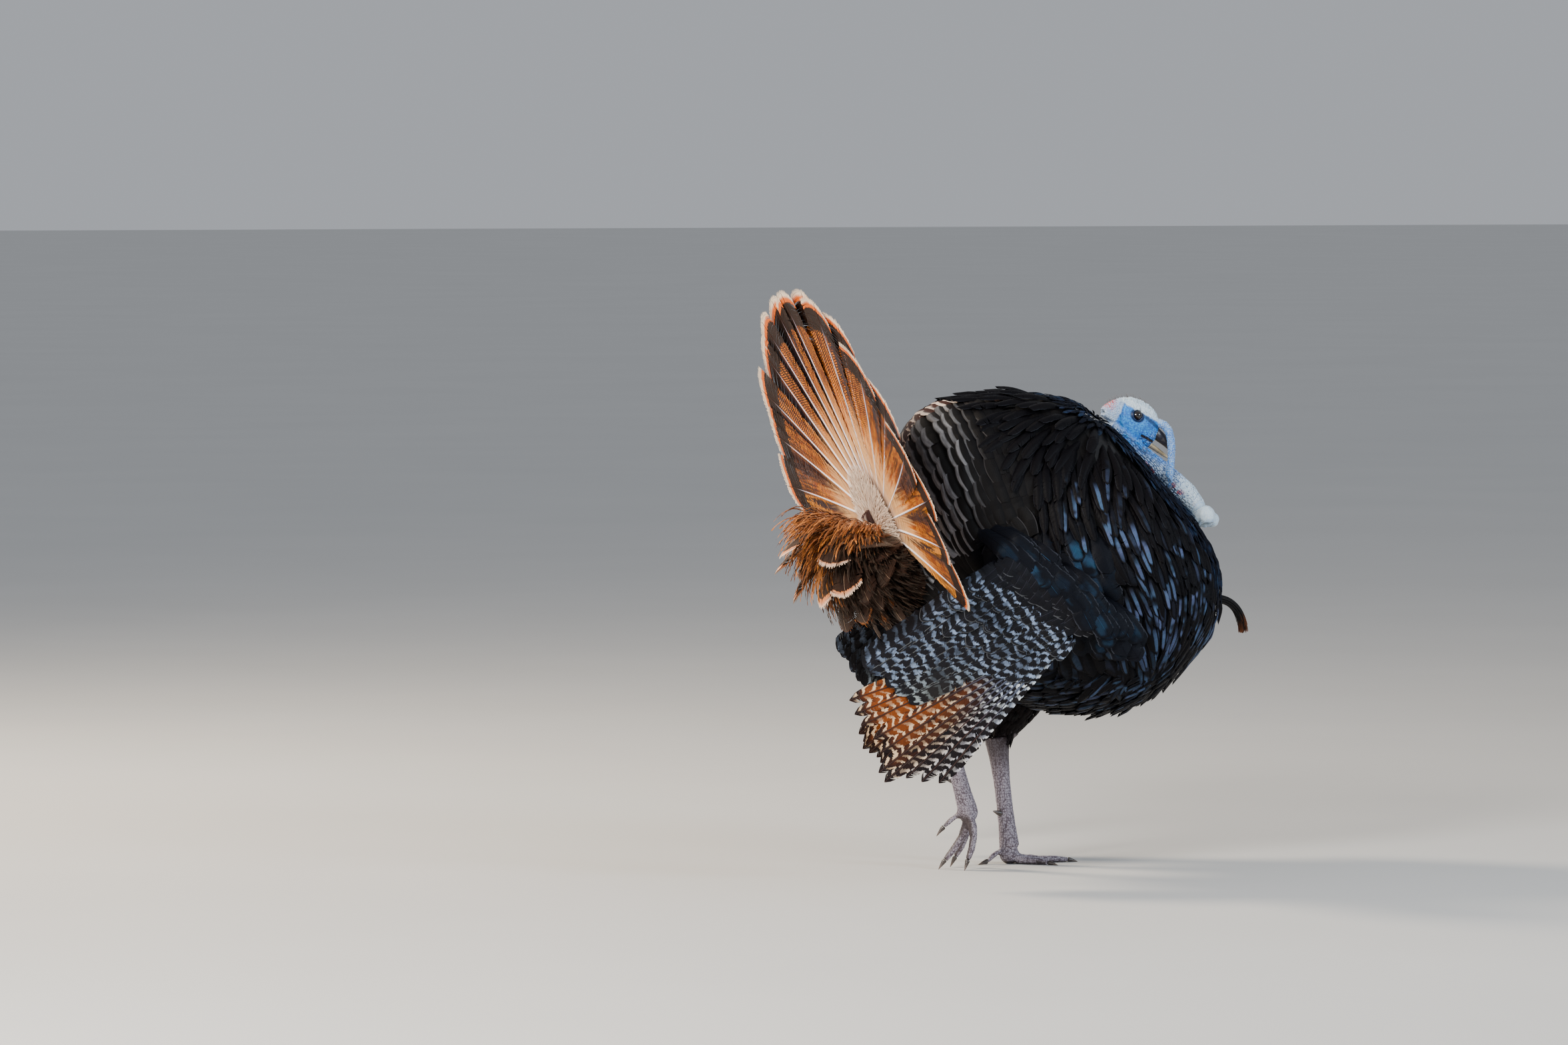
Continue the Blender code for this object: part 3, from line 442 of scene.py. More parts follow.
        vane = np.stack([0.5 + 0.5 * s[..., None, None] * full, (q / rows)[..., None, None] * full], -1)
        self._keep(p, quads, vane, on_map(vane), plume=bar, lot=full * lot[:, None, None, None],
                   shaft=0 * full, tone=full, pale=full * glow[:, None, None, None])

    def make(self, name, made_of, replaces=()):
        fields = {k: np.concatenate(v) for k, v in self.fields.items()}
        maps = {k: np.concatenate(v) for k, v in self.maps.items()}
        return piece(name, np.concatenate(self.places), np.concatenate(self.faces), made_of,
                     replaces, fields, maps)


def vane_shape(rows, base, widest, tip):
    """A vane's width from base to tip as shares of its greatest, which it has at widest."""
    t = np.linspace(0, 1, rows + 1)
    rise = base + (1 - base) * np.sin(0.5 * math.pi * np.clip(t / widest, 0, 1)) ** 0.9
    fall = tip + (1 - tip) * np.sqrt(np.clip(1 - ((t - widest) / (1 - widest)).clip(0, 1) ** 2.2, 0, 1))
    return np.where(t < widest, rise, fall)


def grid_places(count, columns, lines):
    """Places of count patches on a map of columns by lines, and their size."""
    i = np.arange(count)
    margin = 0.01
    cell = np.array([(1 - 2 * margin) / columns, (1 - 2 * margin) / lines])
    at = margin + np.stack([(i % columns) * cell[0], (i // columns) * cell[1]], -1)
    return at + cell * 0.04, cell * 0.92


# ---- finishes ------------------------------------------------------------------------------
class Tree:
    """Short ways to add nodes to a material or to a node group."""

    def __init__(self, tree):
        self.tree = tree

    def link(self, start, end):
        self.tree.links.new(start, end)

    def give(self, socket, value):
        """Links a value that comes from another node, and sets a plain one."""
        if isinstance(value, bpy.types.NodeSocket):
            self.link(value, socket)
        else:
            socket.default_value = value

    def node(self, kind, ins=None, outs=0, **settings):
        made = self.tree.nodes.new(kind)
        for key, value in settings.items():
            setattr(made, key, value)
        for key, value in (ins or {}).items():
            self.give(made.inputs[key], value)
        return made.outputs[outs]

    def field(self, name, kind="Fac"):
        return self.node("ShaderNodeAttribute", attribute_name=name, outs=kind)

    def sum(self, how, a, b=0.0, c=0.0, clamp=False):
        return self.node("ShaderNodeMath", {0: a, 1: b, 2: c}, operation=how, use_clamp=clamp)

    def plus(self, a, b):
        return self.sum("ADD", a, b)

    def less(self, a, b):
        return self.sum("SUBTRACT", a, b)

    def times(self, a, b, clamp=False):
        return self.sum("MULTIPLY", a, b, clamp=clamp)

    def line(self, x, slope, start):
        """start where x is 0, and slope more for each 1 of x."""
        return self.sum("MULTIPLY_ADD", x, slope, start)

    def between(self, low, high, x):
        """0 below low, 1 above high, smooth between them."""
        return self.node("ShaderNodeMapRange", {"Value": x, "From Min": low, "From Max": high},
                         interpolation_type="SMOOTHSTEP", outs="Result")

    def colour(self, share, a, b):
        """Colour a where share is 0, colour b where it is 1."""
        made = self.tree.nodes.new("ShaderNodeMix")
        made.data_type, made.blend_type, made.clamp_factor = "RGBA", "MIX", True
        for index, value in ((0, share), (6, a), (7, b)):
            self.give(made.inputs[index], (*value, 1.0) if isinstance(value, tuple) else value)
        return made.outputs[2]

    def noise(self, vector, scale, detail=3.0, rough=0.55):
        return self.node("ShaderNodeTexNoise", {"Vector": vector, "Scale": scale, "Detail": detail,
                                                "Roughness": rough}, outs="Fac")

    def streaks(self, x, y, lot, sizes, detail, rough=0.55):
        """Noise over a vane, drawn out by its own sizes across and along, new for each feather."""
        scaled = [v if k == 1 else self.times(v, k) for v, k in zip((x, y, lot), sizes)]
        return self.noise(self.join(*scaled), 1.0, detail, rough)

    def split(self, vector):
        made = self.tree.nodes.new("ShaderNodeSeparateXYZ")
        self.link(vector, made.inputs[0])
        return made.outputs

    def join(self, x, y, z=0.0):
        return self.node("ShaderNodeCombineXYZ", {0: x, 1: y, 2: z})

    def place(self):
        return self.node("ShaderNodeTexCoord", outs="Object")

    def group(self, group, ins):
        made = self.tree.nodes.new("ShaderNodeGroup")
        made.node_tree = group
        for key, value in ins.items():
            self.give(made.inputs[key], value)
        return made.outputs


def effect(name, ins, outs):
    """A node group: ins are (name, kind, value), outs are (name, kind).

    Returns the group, its tree and both ends.
    """
    made = bpy.data.node_groups.new(name, "ShaderNodeTree")
    kinds = {"number": "NodeSocketFloat", "colour": "NodeSocketColor", "vector": "NodeSocketVector"}
    for label, kind, value in ins:
        socket = made.interface.new_socket(name=label, in_out="INPUT", socket_type=kinds[kind])
        if value is not None:
            socket.default_value = value
    for label, kind in outs:
        made.interface.new_socket(name=label, in_out="OUTPUT", socket_type=kinds[kind])
    start, end = made.nodes.new("NodeGroupInput"), made.nodes.new("NodeGroupOutput")
    return made, Tree(made), start.outputs, end.inputs


def make_barbs():
    """Fine lines of barbs that lean from the shaft to the tip."""
    made, t, ins, outs = effect("barbs",
                                [("Plume", "vector", None), ("Lot", "number", 0.5),
                                 ("Pitch", "number", 0.0008), ("Lean", "number", 0.9)],
                                [("Height", "number"), ("Streak", "number")])
    across, along, _ = t.split(ins["Plume"])
    run = t.less(along, t.times(t.sum("ABSOLUTE", across), ins["Lean"]))
    wobble = t.streaks(across, along, ins["Lot"], (60.0, 60.0, 40.0), 2.0)
    run = t.plus(run, t.times(wobble, 0.004))
    wave = t.sum("SINE", t.sum("DIVIDE", t.times(run, 2 * math.pi), ins["Pitch"]))
    t.link(t.line(wave, 0.5, 0.5), outs["Height"])
    streak = t.streaks(run, across, ins["Lot"], (900.0, 25.0, 70.0), 2.0)
    t.link(t.between(0.30, 0.72, streak), outs["Streak"])
    return made


def make_bars():
    """Cross bars on a vane, ragged, broken into barb strokes, slanting back from the shaft."""
    sizes = [("Spacing", 0.015), ("Share", 0.45), ("Slant", 0.5), ("Wave", 0.25), ("Grain", 260.0),
             ("Shift", 1.0), ("Start", 0.0)]
    made, t, ins, outs = effect("vane_bars", [("Plume", "vector", None), ("Lot", "number", 0.5)]
                                + [(label, "number", value) for label, value in sizes],
                                [("Bars", "number")])
    across, along, _ = t.split(ins["Plume"])
    lot = t.times(ins["Lot"], 31.7)
    run = t.less(along, t.times(t.sum("ABSOLUTE", across), ins["Slant"]))
    run = t.plus(t.sum("DIVIDE", run, ins["Spacing"]), ins["Start"])
    bend = t.streaks(across, along, lot, (90.0, 45.0, 1), 2.0)
    run = t.plus(run, t.times(t.less(bend, 0.5), t.times(ins["Wave"], 4.0)))
    saw = t.sum("PINGPONG", t.plus(run, t.times(lot, ins["Shift"])), 0.5)
    stroke = t.less(along, t.times(t.sum("ABSOLUTE", across), 0.9))
    grain = t.noise(t.join(t.times(across, t.times(ins["Grain"], 0.35)),
                           t.times(stroke, t.times(ins["Grain"], 2.6)), lot), 1.0, 2.0)
    level = t.plus(t.times(saw, 2.0), t.times(t.less(grain, 0.5), 0.9))
    edge = t.less(1.0, ins["Share"])
    t.link(t.between(t.less(edge, 0.08), t.plus(edge, 0.08), level), outs["Bars"])
    return made


def make_tip_band():
    """1 between two distances from the feather's tip, with a ragged edge."""
    edge = 0.0008
    made, t, ins, outs = effect("tip_band",
                                [("Plume", "vector", None), ("Lot", "number", 0.5), ("From", "number", 0.0),
                                 ("To", "number", 0.01), ("Ragged", "number", 0.003)], [("Band", "number")])
    across, along, tip = t.split(ins["Plume"])
    rag = t.streaks(across, along, ins["Lot"], (420.0, 60.0, 23.0), 3.0)
    far = t.plus(tip, t.times(t.less(rag, 0.5), t.times(ins["Ragged"], 4.0)))
    near_edge = t.between(t.less(ins["From"], edge), t.plus(ins["From"], edge), far)
    far_edge = t.between(t.plus(ins["To"], edge), t.less(ins["To"], edge), far)
    t.link(t.times(near_edge, far_edge), outs["Band"])
    return made


BARBS, BARS, TIP_BAND = make_barbs(), make_bars(), make_tip_band()
PAST_TIP = -0.04  # so far past the tip that even a ragged edge lies beyond it


def finish(name, roughness, specular=0.5, coat=0.0, coat_roughness=0.2, sheen=0.0, sheen_tint=(1, 1, 1)):
    """A new material: its tree and its one shader, with the numbers that are the same all over set on it."""
    made = bpy.data.materials.new(name)
    made.use_nodes = True
    made.node_tree.nodes.clear()
    t = Tree(made.node_tree)
    shader = made.node_tree.nodes.new("ShaderNodeBsdfPrincipled")
    end = made.node_tree.nodes.new("ShaderNodeOutputMaterial")
    made.node_tree.links.new(shader.outputs[0], end.inputs[0])
    shader.inputs["Roughness"].default_value = roughness
    shader.inputs["Specular IOR Level"].default_value = specular
    shader.inputs["Coat Weight"].default_value = coat
    shader.inputs["Coat Roughness"].default_value = coat_roughness
    shader.inputs["Sheen Weight"].default_value = sheen
    shader.inputs["Sheen Tint"].default_value = (*sheen_tint, 1.0)
    return made, t, shader


def wear(t, shader, colour, height, strength, depth, roughness=None):
    """Links the colour, the relief and the roughness to the shader."""
    t.link(colour, shader.inputs["Base Color"])
    bump = t.node("ShaderNodeBump", {"Height": height, "Strength": strength, "Distance": depth})
    t.link(bump, shader.inputs["Normal"])
    if roughness is not None:
        t.link(roughness, shader.inputs["Roughness"])


def feather_basis(t):
    """What every feather finish starts from: its fields, their parts and its barbs."""
    plume, lot = t.field("plume", "Vector"), t.field("lot")
    return plume, lot, t.split(plume), t.group(BARBS, {"Plume": plume, "Lot": lot})


def cross_bars(t, plume, lot, **sizes):
    return t.group(BARS, {"Plume": plume, "Lot": lot, **sizes})["Bars"]


def tip_band(t, plume, lot, start, end, ragged):
    """1 between two distances from the feather's tip."""
    return t.group(TIP_BAND, {"Plume": plume, "Lot": lot, "From": start, "To": end, "Ragged": ragged})["Band"]


def puff_finish():
    """Loose rufous plumes, some sooty, paler round the root."""
    made, t, shader = finish("under_tail_plumes_finish", 0.70, specular=0.15, sheen=0.2,
                             sheen_tint=(1.0, 0.8, 0.6))
    _, lot, (across, along, _), barbs = feather_basis(t)
    warm = t.colour(t.between(0.2, 0.9, lot), (0.22, 0.060, 0.010), (0.62, 0.210, 0.036))
    warm = t.colour(t.field("pale"), warm, (0.90, 0.68, 0.56))
    colour = t.colour(t.between(0.30, 0.75, t.field("tone")), warm, (0.014, 0.007, 0.005))
    fine = t.streaks(across, along, lot, (900.0, 60.0, 1), 2.0)
    colour = t.colour(t.times(t.between(0.50, 0.66, fine), 0.7), colour, (0.060, 0.020, 0.008))
    wear(t, shader, colour, barbs["Height"], 0.45, 0.0003)
    return made


def back_finish():
    """Raised back feathers: a smooth grey face at each tip, lightened by painted sheen, black below it, pale
    rims along the ridge.
    """
    made, t, shader = finish("back_plumage", 0.60, specular=0.14)
    _, lot, (across, _, tip), barbs = feather_basis(t)
    tone, pale = t.field("tone"), t.field("pale")
    # face is the grey band at each tip, partly its own grey and partly painted sheen; tone sets how far and
    # how strongly it shows
    reach = t.line(tone, 0.0150, 0.0035)
    face = t.between(reach, t.times(reach, 0.72), t.plus(tip, t.line(lot, 0.003, -0.0015)))
    face = t.times(face, t.times(t.between(0.02, 0.30, tone), t.line(t.between(0.1, 0.4, lot), 0.4, 0.6)))
    fold = t.streaks(across, tip, lot, (60.0, 260.0, 37.0), 3.0)
    grey = t.colour(t.between(0.32, 0.68, fold), (0.120, 0.127, 0.145), (0.245, 0.255, 0.280))
    colour = t.colour(t.times(face, 1.0, clamp=True), (0.0035, 0.0030, 0.0035), grey)
    colour = t.colour(t.times(t.between(0.0022, 0.0010, tip), t.less(1.0, pale)), colour,
                      (0.030, 0.028, 0.030))
    brown = t.times(t.between(0.004, 0.009, tip), pale)
    colour = t.colour(t.times(brown, t.times(t.between(0.028, 0.012, tip), 0.85)), colour,
                      (0.060, 0.016, 0.008))
    rim = t.times(t.between(0.0085, 0.0055, t.plus(tip, t.times(fold, 0.003))), pale)
    colour = t.colour(rim, colour, (0.80, 0.66, 0.58))
    wear(t, shader, colour, t.plus(barbs["Height"], t.times(fold, 1.5)), 0.40, 0.0003)
    return made


def dark_plumage(name, ground, painted_sheen_colour, share, roughness, streak=(0.003, 0.052), side=(-0.42, 0.60),
                 edge=0.5):
    """Black feathers with a lance of painted sheen beside the shaft, a blue or grey painted highlight."""
    made, t, shader = finish(name, roughness, specular=0.08)
    _, lot, (_, _, tip), barbs = feather_basis(t)
    vane, tone = t.field("vane_across"), t.field("tone")
    broad = t.noise(t.place(), 9.0, 2.0)
    base = t.colour(t.times(t.between(0.35, 0.75, broad), 0.15), ground, (0.014, 0.008, 0.006))
    rim = t.times(t.between(0.86, 0.99, t.sum("ABSOLUTE", vane)), t.times(t.between(0.035, 0.005, tip), edge))
    base = t.colour(rim, base, (0.045, 0.050, 0.066))
    # the lance is painted sheen, a highlight drawn into the colour; tone and share set how strongly it shows
    middle = 0.5 * (side[0] + side[1])
    shoulder = 0.5 * (side[1] - side[0])
    lance = t.between(shoulder, shoulder * 0.60, t.sum("ABSOLUTE", t.less(vane, middle)))
    span = t.times(t.between(streak[0] * 0.3, streak[0] + 0.004, tip),
                   t.between(streak[1], streak[1] * 0.45, tip))
    chance = t.noise(t.place(), 26.0, 2.0)
    chance = t.times(t.between(0.40, 0.56, chance), t.between(0.22, 0.75, lot))
    strength = t.times(t.times(lance, span), chance)
    strength = t.times(t.times(strength, tone), share, clamp=True)
    tint = t.colour(t.between(0.3, 0.7, t.noise(t.place(), 40.0, 1.0)), painted_sheen_colour,
                    tuple(v * w for v, w in zip(painted_sheen_colour, (0.75, 1.10, 1.0))))
    colour = t.colour(strength, base, tint)
    colour = t.colour(t.times(barbs["Streak"], 0.35), colour, (0.002, 0.002, 0.004))
    rough = t.line(barbs["Streak"], 0.14, roughness - 0.05)
    wear(t, shader, colour, barbs["Height"], 0.30, 0.0002, rough)
    return made


def tail_finish():
    """Chestnut vanes brightened to orange by painted glow of light through them and darkened by painted shade
    where they overlap, with fine dark bars, a black band and a buff tip; shafts are pale.
    """
    made, t, shader = finish("tail_vanes", 0.62, specular=0.12)
    plume, lot, (across, along, tip), barbs = feather_basis(t)
    dark, shaft, glow = t.field("tone"), t.field("shaft"), t.field("pale")
    mottle = t.streaks(across, along, lot, (150.0, 45.0, 19.0), 4.0, 0.62)
    # warm: the vanes' chestnut, brightened to orange as painted glow of light through them; glow adds more of
    # it on the outermost feathers' bare outer vanes
    warm = t.colour(t.between(0.34, 0.66, mottle), (0.46, 0.078, 0.003), (1.0, 0.300, 0.007))
    warm = t.colour(t.times(glow, 0.75), warm, (0.92, 0.35, 0.030))
    dusk = t.streaks(across, along, lot, (240.0, 13.0, 43.0), 3.0)
    dusk = t.times(t.between(0.44, 0.60, dusk), t.times(t.between(0.10, 0.27, along), 0.88))
    warm = t.colour(dusk, warm, (0.034, 0.010, 0.004))
    bars = cross_bars(t, plume, lot, Spacing=0.0048, Share=0.50, Slant=-0.75, Wave=0.34, Grain=420.0)
    inked = t.times(bars, t.between(0.10, 0.24, along))
    inked = t.times(inked, t.line(glow, -0.6, 0.95))
    warm = t.colour(inked, warm, (0.028, 0.008, 0.003))
    # overlap_shade is painted shade where a neighbouring feather overlaps the vane; tone marks where
    overlap_shade = t.colour(t.times(bars, 0.7), (0.030, 0.024, 0.036), (0.006, 0.004, 0.005))
    streaky = t.streaks(across, along, lot, (220.0, 9.0, 61.0), 2.0)
    hide = t.between(t.line(streaky, 0.13, 0.015), t.line(streaky, 0.13, 0.065), along)
    colour = t.colour(t.times(t.times(dark, hide), 0.97), warm, overlap_shade)
    root = t.between(t.line(streaky, 0.22, 0.085), t.line(streaky, 0.16, 0.010), along)
    cream = t.colour(t.between(0.10, 0.03, along), (0.96, 0.52, 0.22), (0.96, 0.84, 0.74))
    colour = t.colour(root, colour, cream)
    black = tip_band(t, plume, lot, 0.014, 0.056, 0.0045)
    colour = t.colour(t.times(black, 0.98), colour, (0.007, 0.0035, 0.003))
    buff = tip_band(t, plume, lot, PAST_TIP, 0.0155, 0.0024)
    pale_end = t.colour(t.between(0.0100, 0.0030, t.plus(tip, t.line(mottle, 0.008, -0.004))),
                        (0.80, 0.155, 0.012), (0.97, 0.80, 0.62))
    colour = t.colour(buff, colour, pale_end)
    colour = t.colour(t.times(barbs["Streak"], 0.20), colour, (0.10, 0.030, 0.008))
    quill = t.colour(t.between(0.05, 0.32, along), (0.92, 0.88, 0.90), (0.60, 0.55, 0.68))
    quill = t.colour(t.between(0.09, 0.03, tip), quill, (0.04, 0.015, 0.01))
    colour = t.colour(shaft, colour, quill)
    wear(t, shader, colour, barbs["Height"], 0.35, 0.0002, t.line(barbs["Streak"], 0.1, 0.55))
    return made


def covert_finish(name, warm_a, warm_b, tip_a, tip_b, band_from, band_to, down, fading=False, grime=0.30):
    """Soft rufous coverts with a dark band and a buff tip, pale and loose at the base."""
    made, t, shader = finish(name, 0.68, specular=0.15, sheen=0.15, sheen_tint=(1.0, 0.85, 0.7))
    plume, lot, (across, along, tip), barbs = feather_basis(t)
    shaft = t.field("shaft")
    mottle = t.streaks(across, along, lot, (160.0, 40.0, 29.0), 4.0)
    colour = t.colour(t.between(0.35, 0.70, mottle), warm_a, warm_b)
    colour = t.colour(t.times(t.between(0.035, 0.005, along), down), colour, (0.78, 0.62, 0.50))
    bars = cross_bars(t, plume, lot, Spacing=0.0065, Share=0.4, Slant=-0.5, Wave=0.2)
    colour = t.colour(t.times(bars, min(0.35, grime)), colour, (0.035, 0.014, 0.008))
    reach = t.line(t.field("pale"), band_from, -0.0012) if fading else band_from
    near = t.less(reach, t.times(t.between(0.12, 0.0, t.field("pale")), 0.05)) if fading else band_from
    black = tip_band(t, plume, lot, near, band_to, 0.004)
    colour = t.colour(t.times(black, 0.95), colour, (0.008, 0.005, 0.005))
    buff = tip_band(t, plume, lot, PAST_TIP, reach, 0.0016)
    if fading:
        buff = t.times(buff, t.between(0.16, 0.45, t.field("pale")))
    edge = t.colour(t.between(band_from * 0.6, -band_from * 0.2, tip), tip_a, tip_b)
    colour = t.colour(buff, colour, edge)
    colour = t.colour(t.times(barbs["Streak"], grime), colour, (0.05, 0.02, 0.01))
    colour = t.colour(shaft, colour, (0.45, 0.30, 0.20))
    wear(t, shader, colour, barbs["Height"], 0.40, 0.0003)
    return made


def flight_finish(name, ground, warm, warmth, pale, spacing, share, slant, wave, clear_shaft=0.0,
                  tip_dark=0.0, grain=300.0, outer_share=1.0, pale_edge_and_shade=0.0, fade=0.0, warm_from=0.10,
                  warm_pale=(0.86, 0.66, 0.44), quill_tone=((0.10, 0.13, 0.20), (0.050, 0.026, 0.022)),
                  tip_edge=0.0):
    """Barred wing feathers. warm shows towards their tips, on the primaries as painted glow of light through
    the vanes, and pale is the colour of the bars.
    """
    made, t, shader = finish(name, 0.50, specular=0.13)
    plume, lot, (across, along, tip), barbs = feather_basis(t)
    shaft, vane, tone = t.field("shaft"), t.field("vane_across"), t.field("tone")
    # on the primaries warm is painted glow of light through the vanes towards their tips; elsewhere it is a
    # faint brown tint
    reach = t.times(t.between(warm_from, warm_from + 0.14, along), tone)
    mottle = t.streaks(across, along, lot, (90.0, 30.0, 11.0), 3.0)
    glowing = t.times(t.between(0.30, 0.85, tone), t.between(0.010, 0.034, tip))
    tint_and_glow = t.times(t.times(reach, t.between(0.30, 0.58, mottle)), warmth, clamp=True)
    colour = t.colour(t.times(tint_and_glow, 0.8), ground, tuple(0.10 * v + 0.004 for v in warm))
    colour = t.colour(t.times(tint_and_glow, glowing), colour, warm)
    bars = cross_bars(t, plume, lot, Spacing=spacing, Share=share, Slant=slant, Wave=wave, Grain=grain,
                      Shift=0.0, Start=t.field("pale"))
    off_shaft = t.between(clear_shaft, clear_shaft + 0.0022, t.sum("ABSOLUTE", across))
    bars = t.times(bars, off_shaft)
    outer = t.between(0.0, -0.05, vane)
    keep = t.less(1.0, t.times(outer, t.times(1.0 - outer_share, t.between(-0.95, -0.45, vane))))
    bars = t.times(t.times(bars, keep), t.between(-0.6, -0.2, tone))
    if tip_dark:
        bars = t.times(bars, t.between(tip_dark * 0.4, tip_dark, tip))
    if fade:
        patchy = t.noise(t.place(), 17.0, 2.0)
        clouds = t.streaks(across, along, lot, (120.0, 70.0, 53.0), 2.0)
        fading = t.times(t.between(0.36, 0.56, patchy), t.between(0.30, 0.50, clouds))
        bars = t.times(bars, t.line(fading, fade, 1.0 - fade))
    tone_noise = t.streaks(across, along, lot, (110.0, 70.0, 1), 2.0)
    lit = t.colour(t.between(0.35, 0.7, tone_noise), pale, tuple(min(1.0, v * 1.9) for v in pale))
    # where the warm reaches, the bars take warm_pale, on the primaries part of the painted glow
    lit = t.colour(t.times(reach, 2.2 * warmth, clamp=True), lit, warm_pale)
    colour = t.colour(t.times(bars, 0.96), colour, lit)
    if pale_edge_and_shade:
        rim = t.times(t.between(-0.86, -0.97, vane), pale_edge_and_shade)
        colour = t.colour(rim, colour, (0.20, 0.21, 0.21))
        # painted shade on the half of the vane that the next feather overlaps
        shade = t.times(t.between(0.05, 0.50, vane), 0.75)
        colour = t.colour(shade, colour, (0.004, 0.004, 0.005))
    plain = t.between(-0.2, -0.6, tone)
    colour = t.colour(plain, colour, (0.0045, 0.0050, 0.0080))
    if tip_edge:
        colour = t.colour(t.times(t.between(0.0022, 0.0008, tip), tip_edge), colour, (0.24, 0.25, 0.27))
    colour = t.colour(t.times(barbs["Streak"], 0.25), colour, (0.010, 0.007, 0.008))
    quill = t.colour(t.between(0.05, 0.22, along), quill_tone[0], quill_tone[1])
    colour = t.colour(shaft, colour, quill)
    wear(t, shader, colour, barbs["Height"], 0.35, 0.0002, t.line(barbs["Streak"], 0.12, 0.44))
    return made


def skin_finish():
    """Bare head, neck and legs, and the dark down that shows between the feathers."""
    made, t, shader = finish("skin", 0.48, specular=0.40, coat=0.10, coat_roughness=0.35)
    place = t.place()
    white, blue, red, lump = (t.field(n) for n in ("white", "blue", "red", "lump"))
    leg, scute, down, gape = (t.field(n) for n in ("leg", "scute", "down", "gape"))
    fine, speck = t.noise(place, 900.0, 3.0), t.noise(place, 420.0, 2.0)
    pores = t.node("ShaderNodeTexVoronoi", {"Vector": place, "Scale": 620.0}, outs="Distance")
    crown = t.colour(t.between(0.35, 0.65, fine), (0.54, 0.70, 0.82), (0.76, 0.86, 0.92))
    crown = t.colour(t.times(t.between(0.56, 0.70, speck), 0.50), crown, (0.14, 0.38, 0.74))
    face = t.colour(t.between(0.30, 0.70, speck), (0.012, 0.12, 0.52), (0.045, 0.36, 0.86))
    patches = t.noise(place, 130.0, 2.0)
    face = t.colour(t.times(t.between(0.48, 0.66, patches), 0.55), face, (0.010, 0.075, 0.34))
    face = t.colour(t.times(t.field("lore"), 0.94), face, (0.004, 0.012, 0.055))
    gap = t.colour(t.between(0.35, 0.65, fine), (0.020, 0.045, 0.130), (0.065, 0.160, 0.380))
    wattle = t.colour(t.between(0.30, 0.70, speck), (0.26, 0.40, 0.64), (0.50, 0.62, 0.78))
    wattle = t.colour(white, wattle, crown)
    wattle = t.colour(blue, wattle, face)
    wattle = t.colour(red, wattle,
                      t.colour(t.between(0.3, 0.7, speck), (0.50, 0.060, 0.080), (0.72, 0.20, 0.19)))
    head = t.colour(t.between(0.04, 0.36, lump), gap, wattle)
    head = t.colour(t.times(t.between(0.10, 0.02, pores), 0.25), head, (0.05, 0.10, 0.22))
    head = t.colour(gape, head, (0.018, 0.012, 0.014))
    scale_tone = t.colour(t.between(0.3, 0.7, speck), (0.235, 0.200, 0.250), (0.400, 0.365, 0.420))
    shin = t.colour(t.between(0.10, 0.60, scute), (0.105, 0.078, 0.100), scale_tone)
    # painted shade on the soles, the back of the right ankle and round the hock
    shin = t.colour(t.field("sole"), shin, (0.040, 0.026, 0.028))
    colour = t.colour(leg, head, shin)
    dusk = t.colour(t.between(0.4, 0.7, t.noise(place, 160.0, 3.0)), (0.004, 0.004, 0.005),
                    (0.012, 0.010, 0.010))
    colour = t.colour(down, colour, dusk)
    relief = t.plus(t.times(fine, 0.6), t.times(pores, 0.8))
    wear(t, shader, colour, relief, 0.35, 0.0003, t.line(fine, 0.20, 0.40))
    return made


def horn_finish(name, base, tip, dark):
    """Horn that runs from base to tip colour, with fine growth lines."""
    made, t, shader = finish(name, 0.35, specular=0.5, coat=0.25, coat_roughness=0.18)
    place = t.place()
    run = t.field("run")
    grain = t.noise(t.node("ShaderNodeMapping", {"Vector": place, "Scale": (900.0, 240.0, 420.0)}), 1.0, 3.0)
    colour = t.colour(t.between(0.35, 0.90, run), base, tip)
    colour = t.colour(t.times(t.between(0.50, 0.72, grain), 0.55), colour, dark)
    wear(t, shader, colour, grain, 0.30, 0.0003, t.line(grain, 0.25, 0.22))
    return made


def eye_finish():
    """A near-black eye: a wide pupil in a dark iris, under a clear wet surface."""
    made, t, shader = finish("eyeball", 0.10, specular=0.5, coat=0.8, coat_roughness=0.03)
    ring, lot = t.field("ring"), t.noise(t.place(), 700.0, 3.0)
    iris = t.colour(t.between(0.30, 0.70, lot), (0.010, 0.005, 0.004), (0.028, 0.013, 0.008))
    colour = t.colour(t.between(0.40, 0.46, ring), (0.002, 0.002, 0.003), iris)
    colour = t.colour(t.between(0.62, 0.72, ring), colour, (0.005, 0.006, 0.012))
    wear(t, shader, colour, lot, 0.05, 0.0001)
    return made


def bristle_finish(name, root, tip):
    """Bristles that turn to their tips' colour, each by its own lot."""
    made, t, shader = finish(name, 0.50, specular=0.25)
    run, lot = t.field("run"), t.field("lot")
    colour = t.colour(t.times(t.between(0.76, 1.0, run), t.between(0.0, 0.7, lot)), root, tip)
    grain = t.noise(t.place(), 1500.0, 2.0)
    colour = t.colour(t.times(grain, 0.4), colour, tuple(v * 0.4 for v in root))
    wear(t, shader, colour, grain, 0.25, 0.0002)
    return made


def floor_finish():
    """A matt, nearly even studio floor."""
    made, t, shader = finish("floor", 0.85, specular=0.2)
    tone = t.noise(t.place(), 1.3, 3.0)
    colour = t.colour(tone, (0.60, 0.60, 0.59), (0.66, 0.66, 0.65))
    wear(t, shader, colour, t.noise(t.place(), 60.0, 3.0), 0.05, 0.001)
    return made


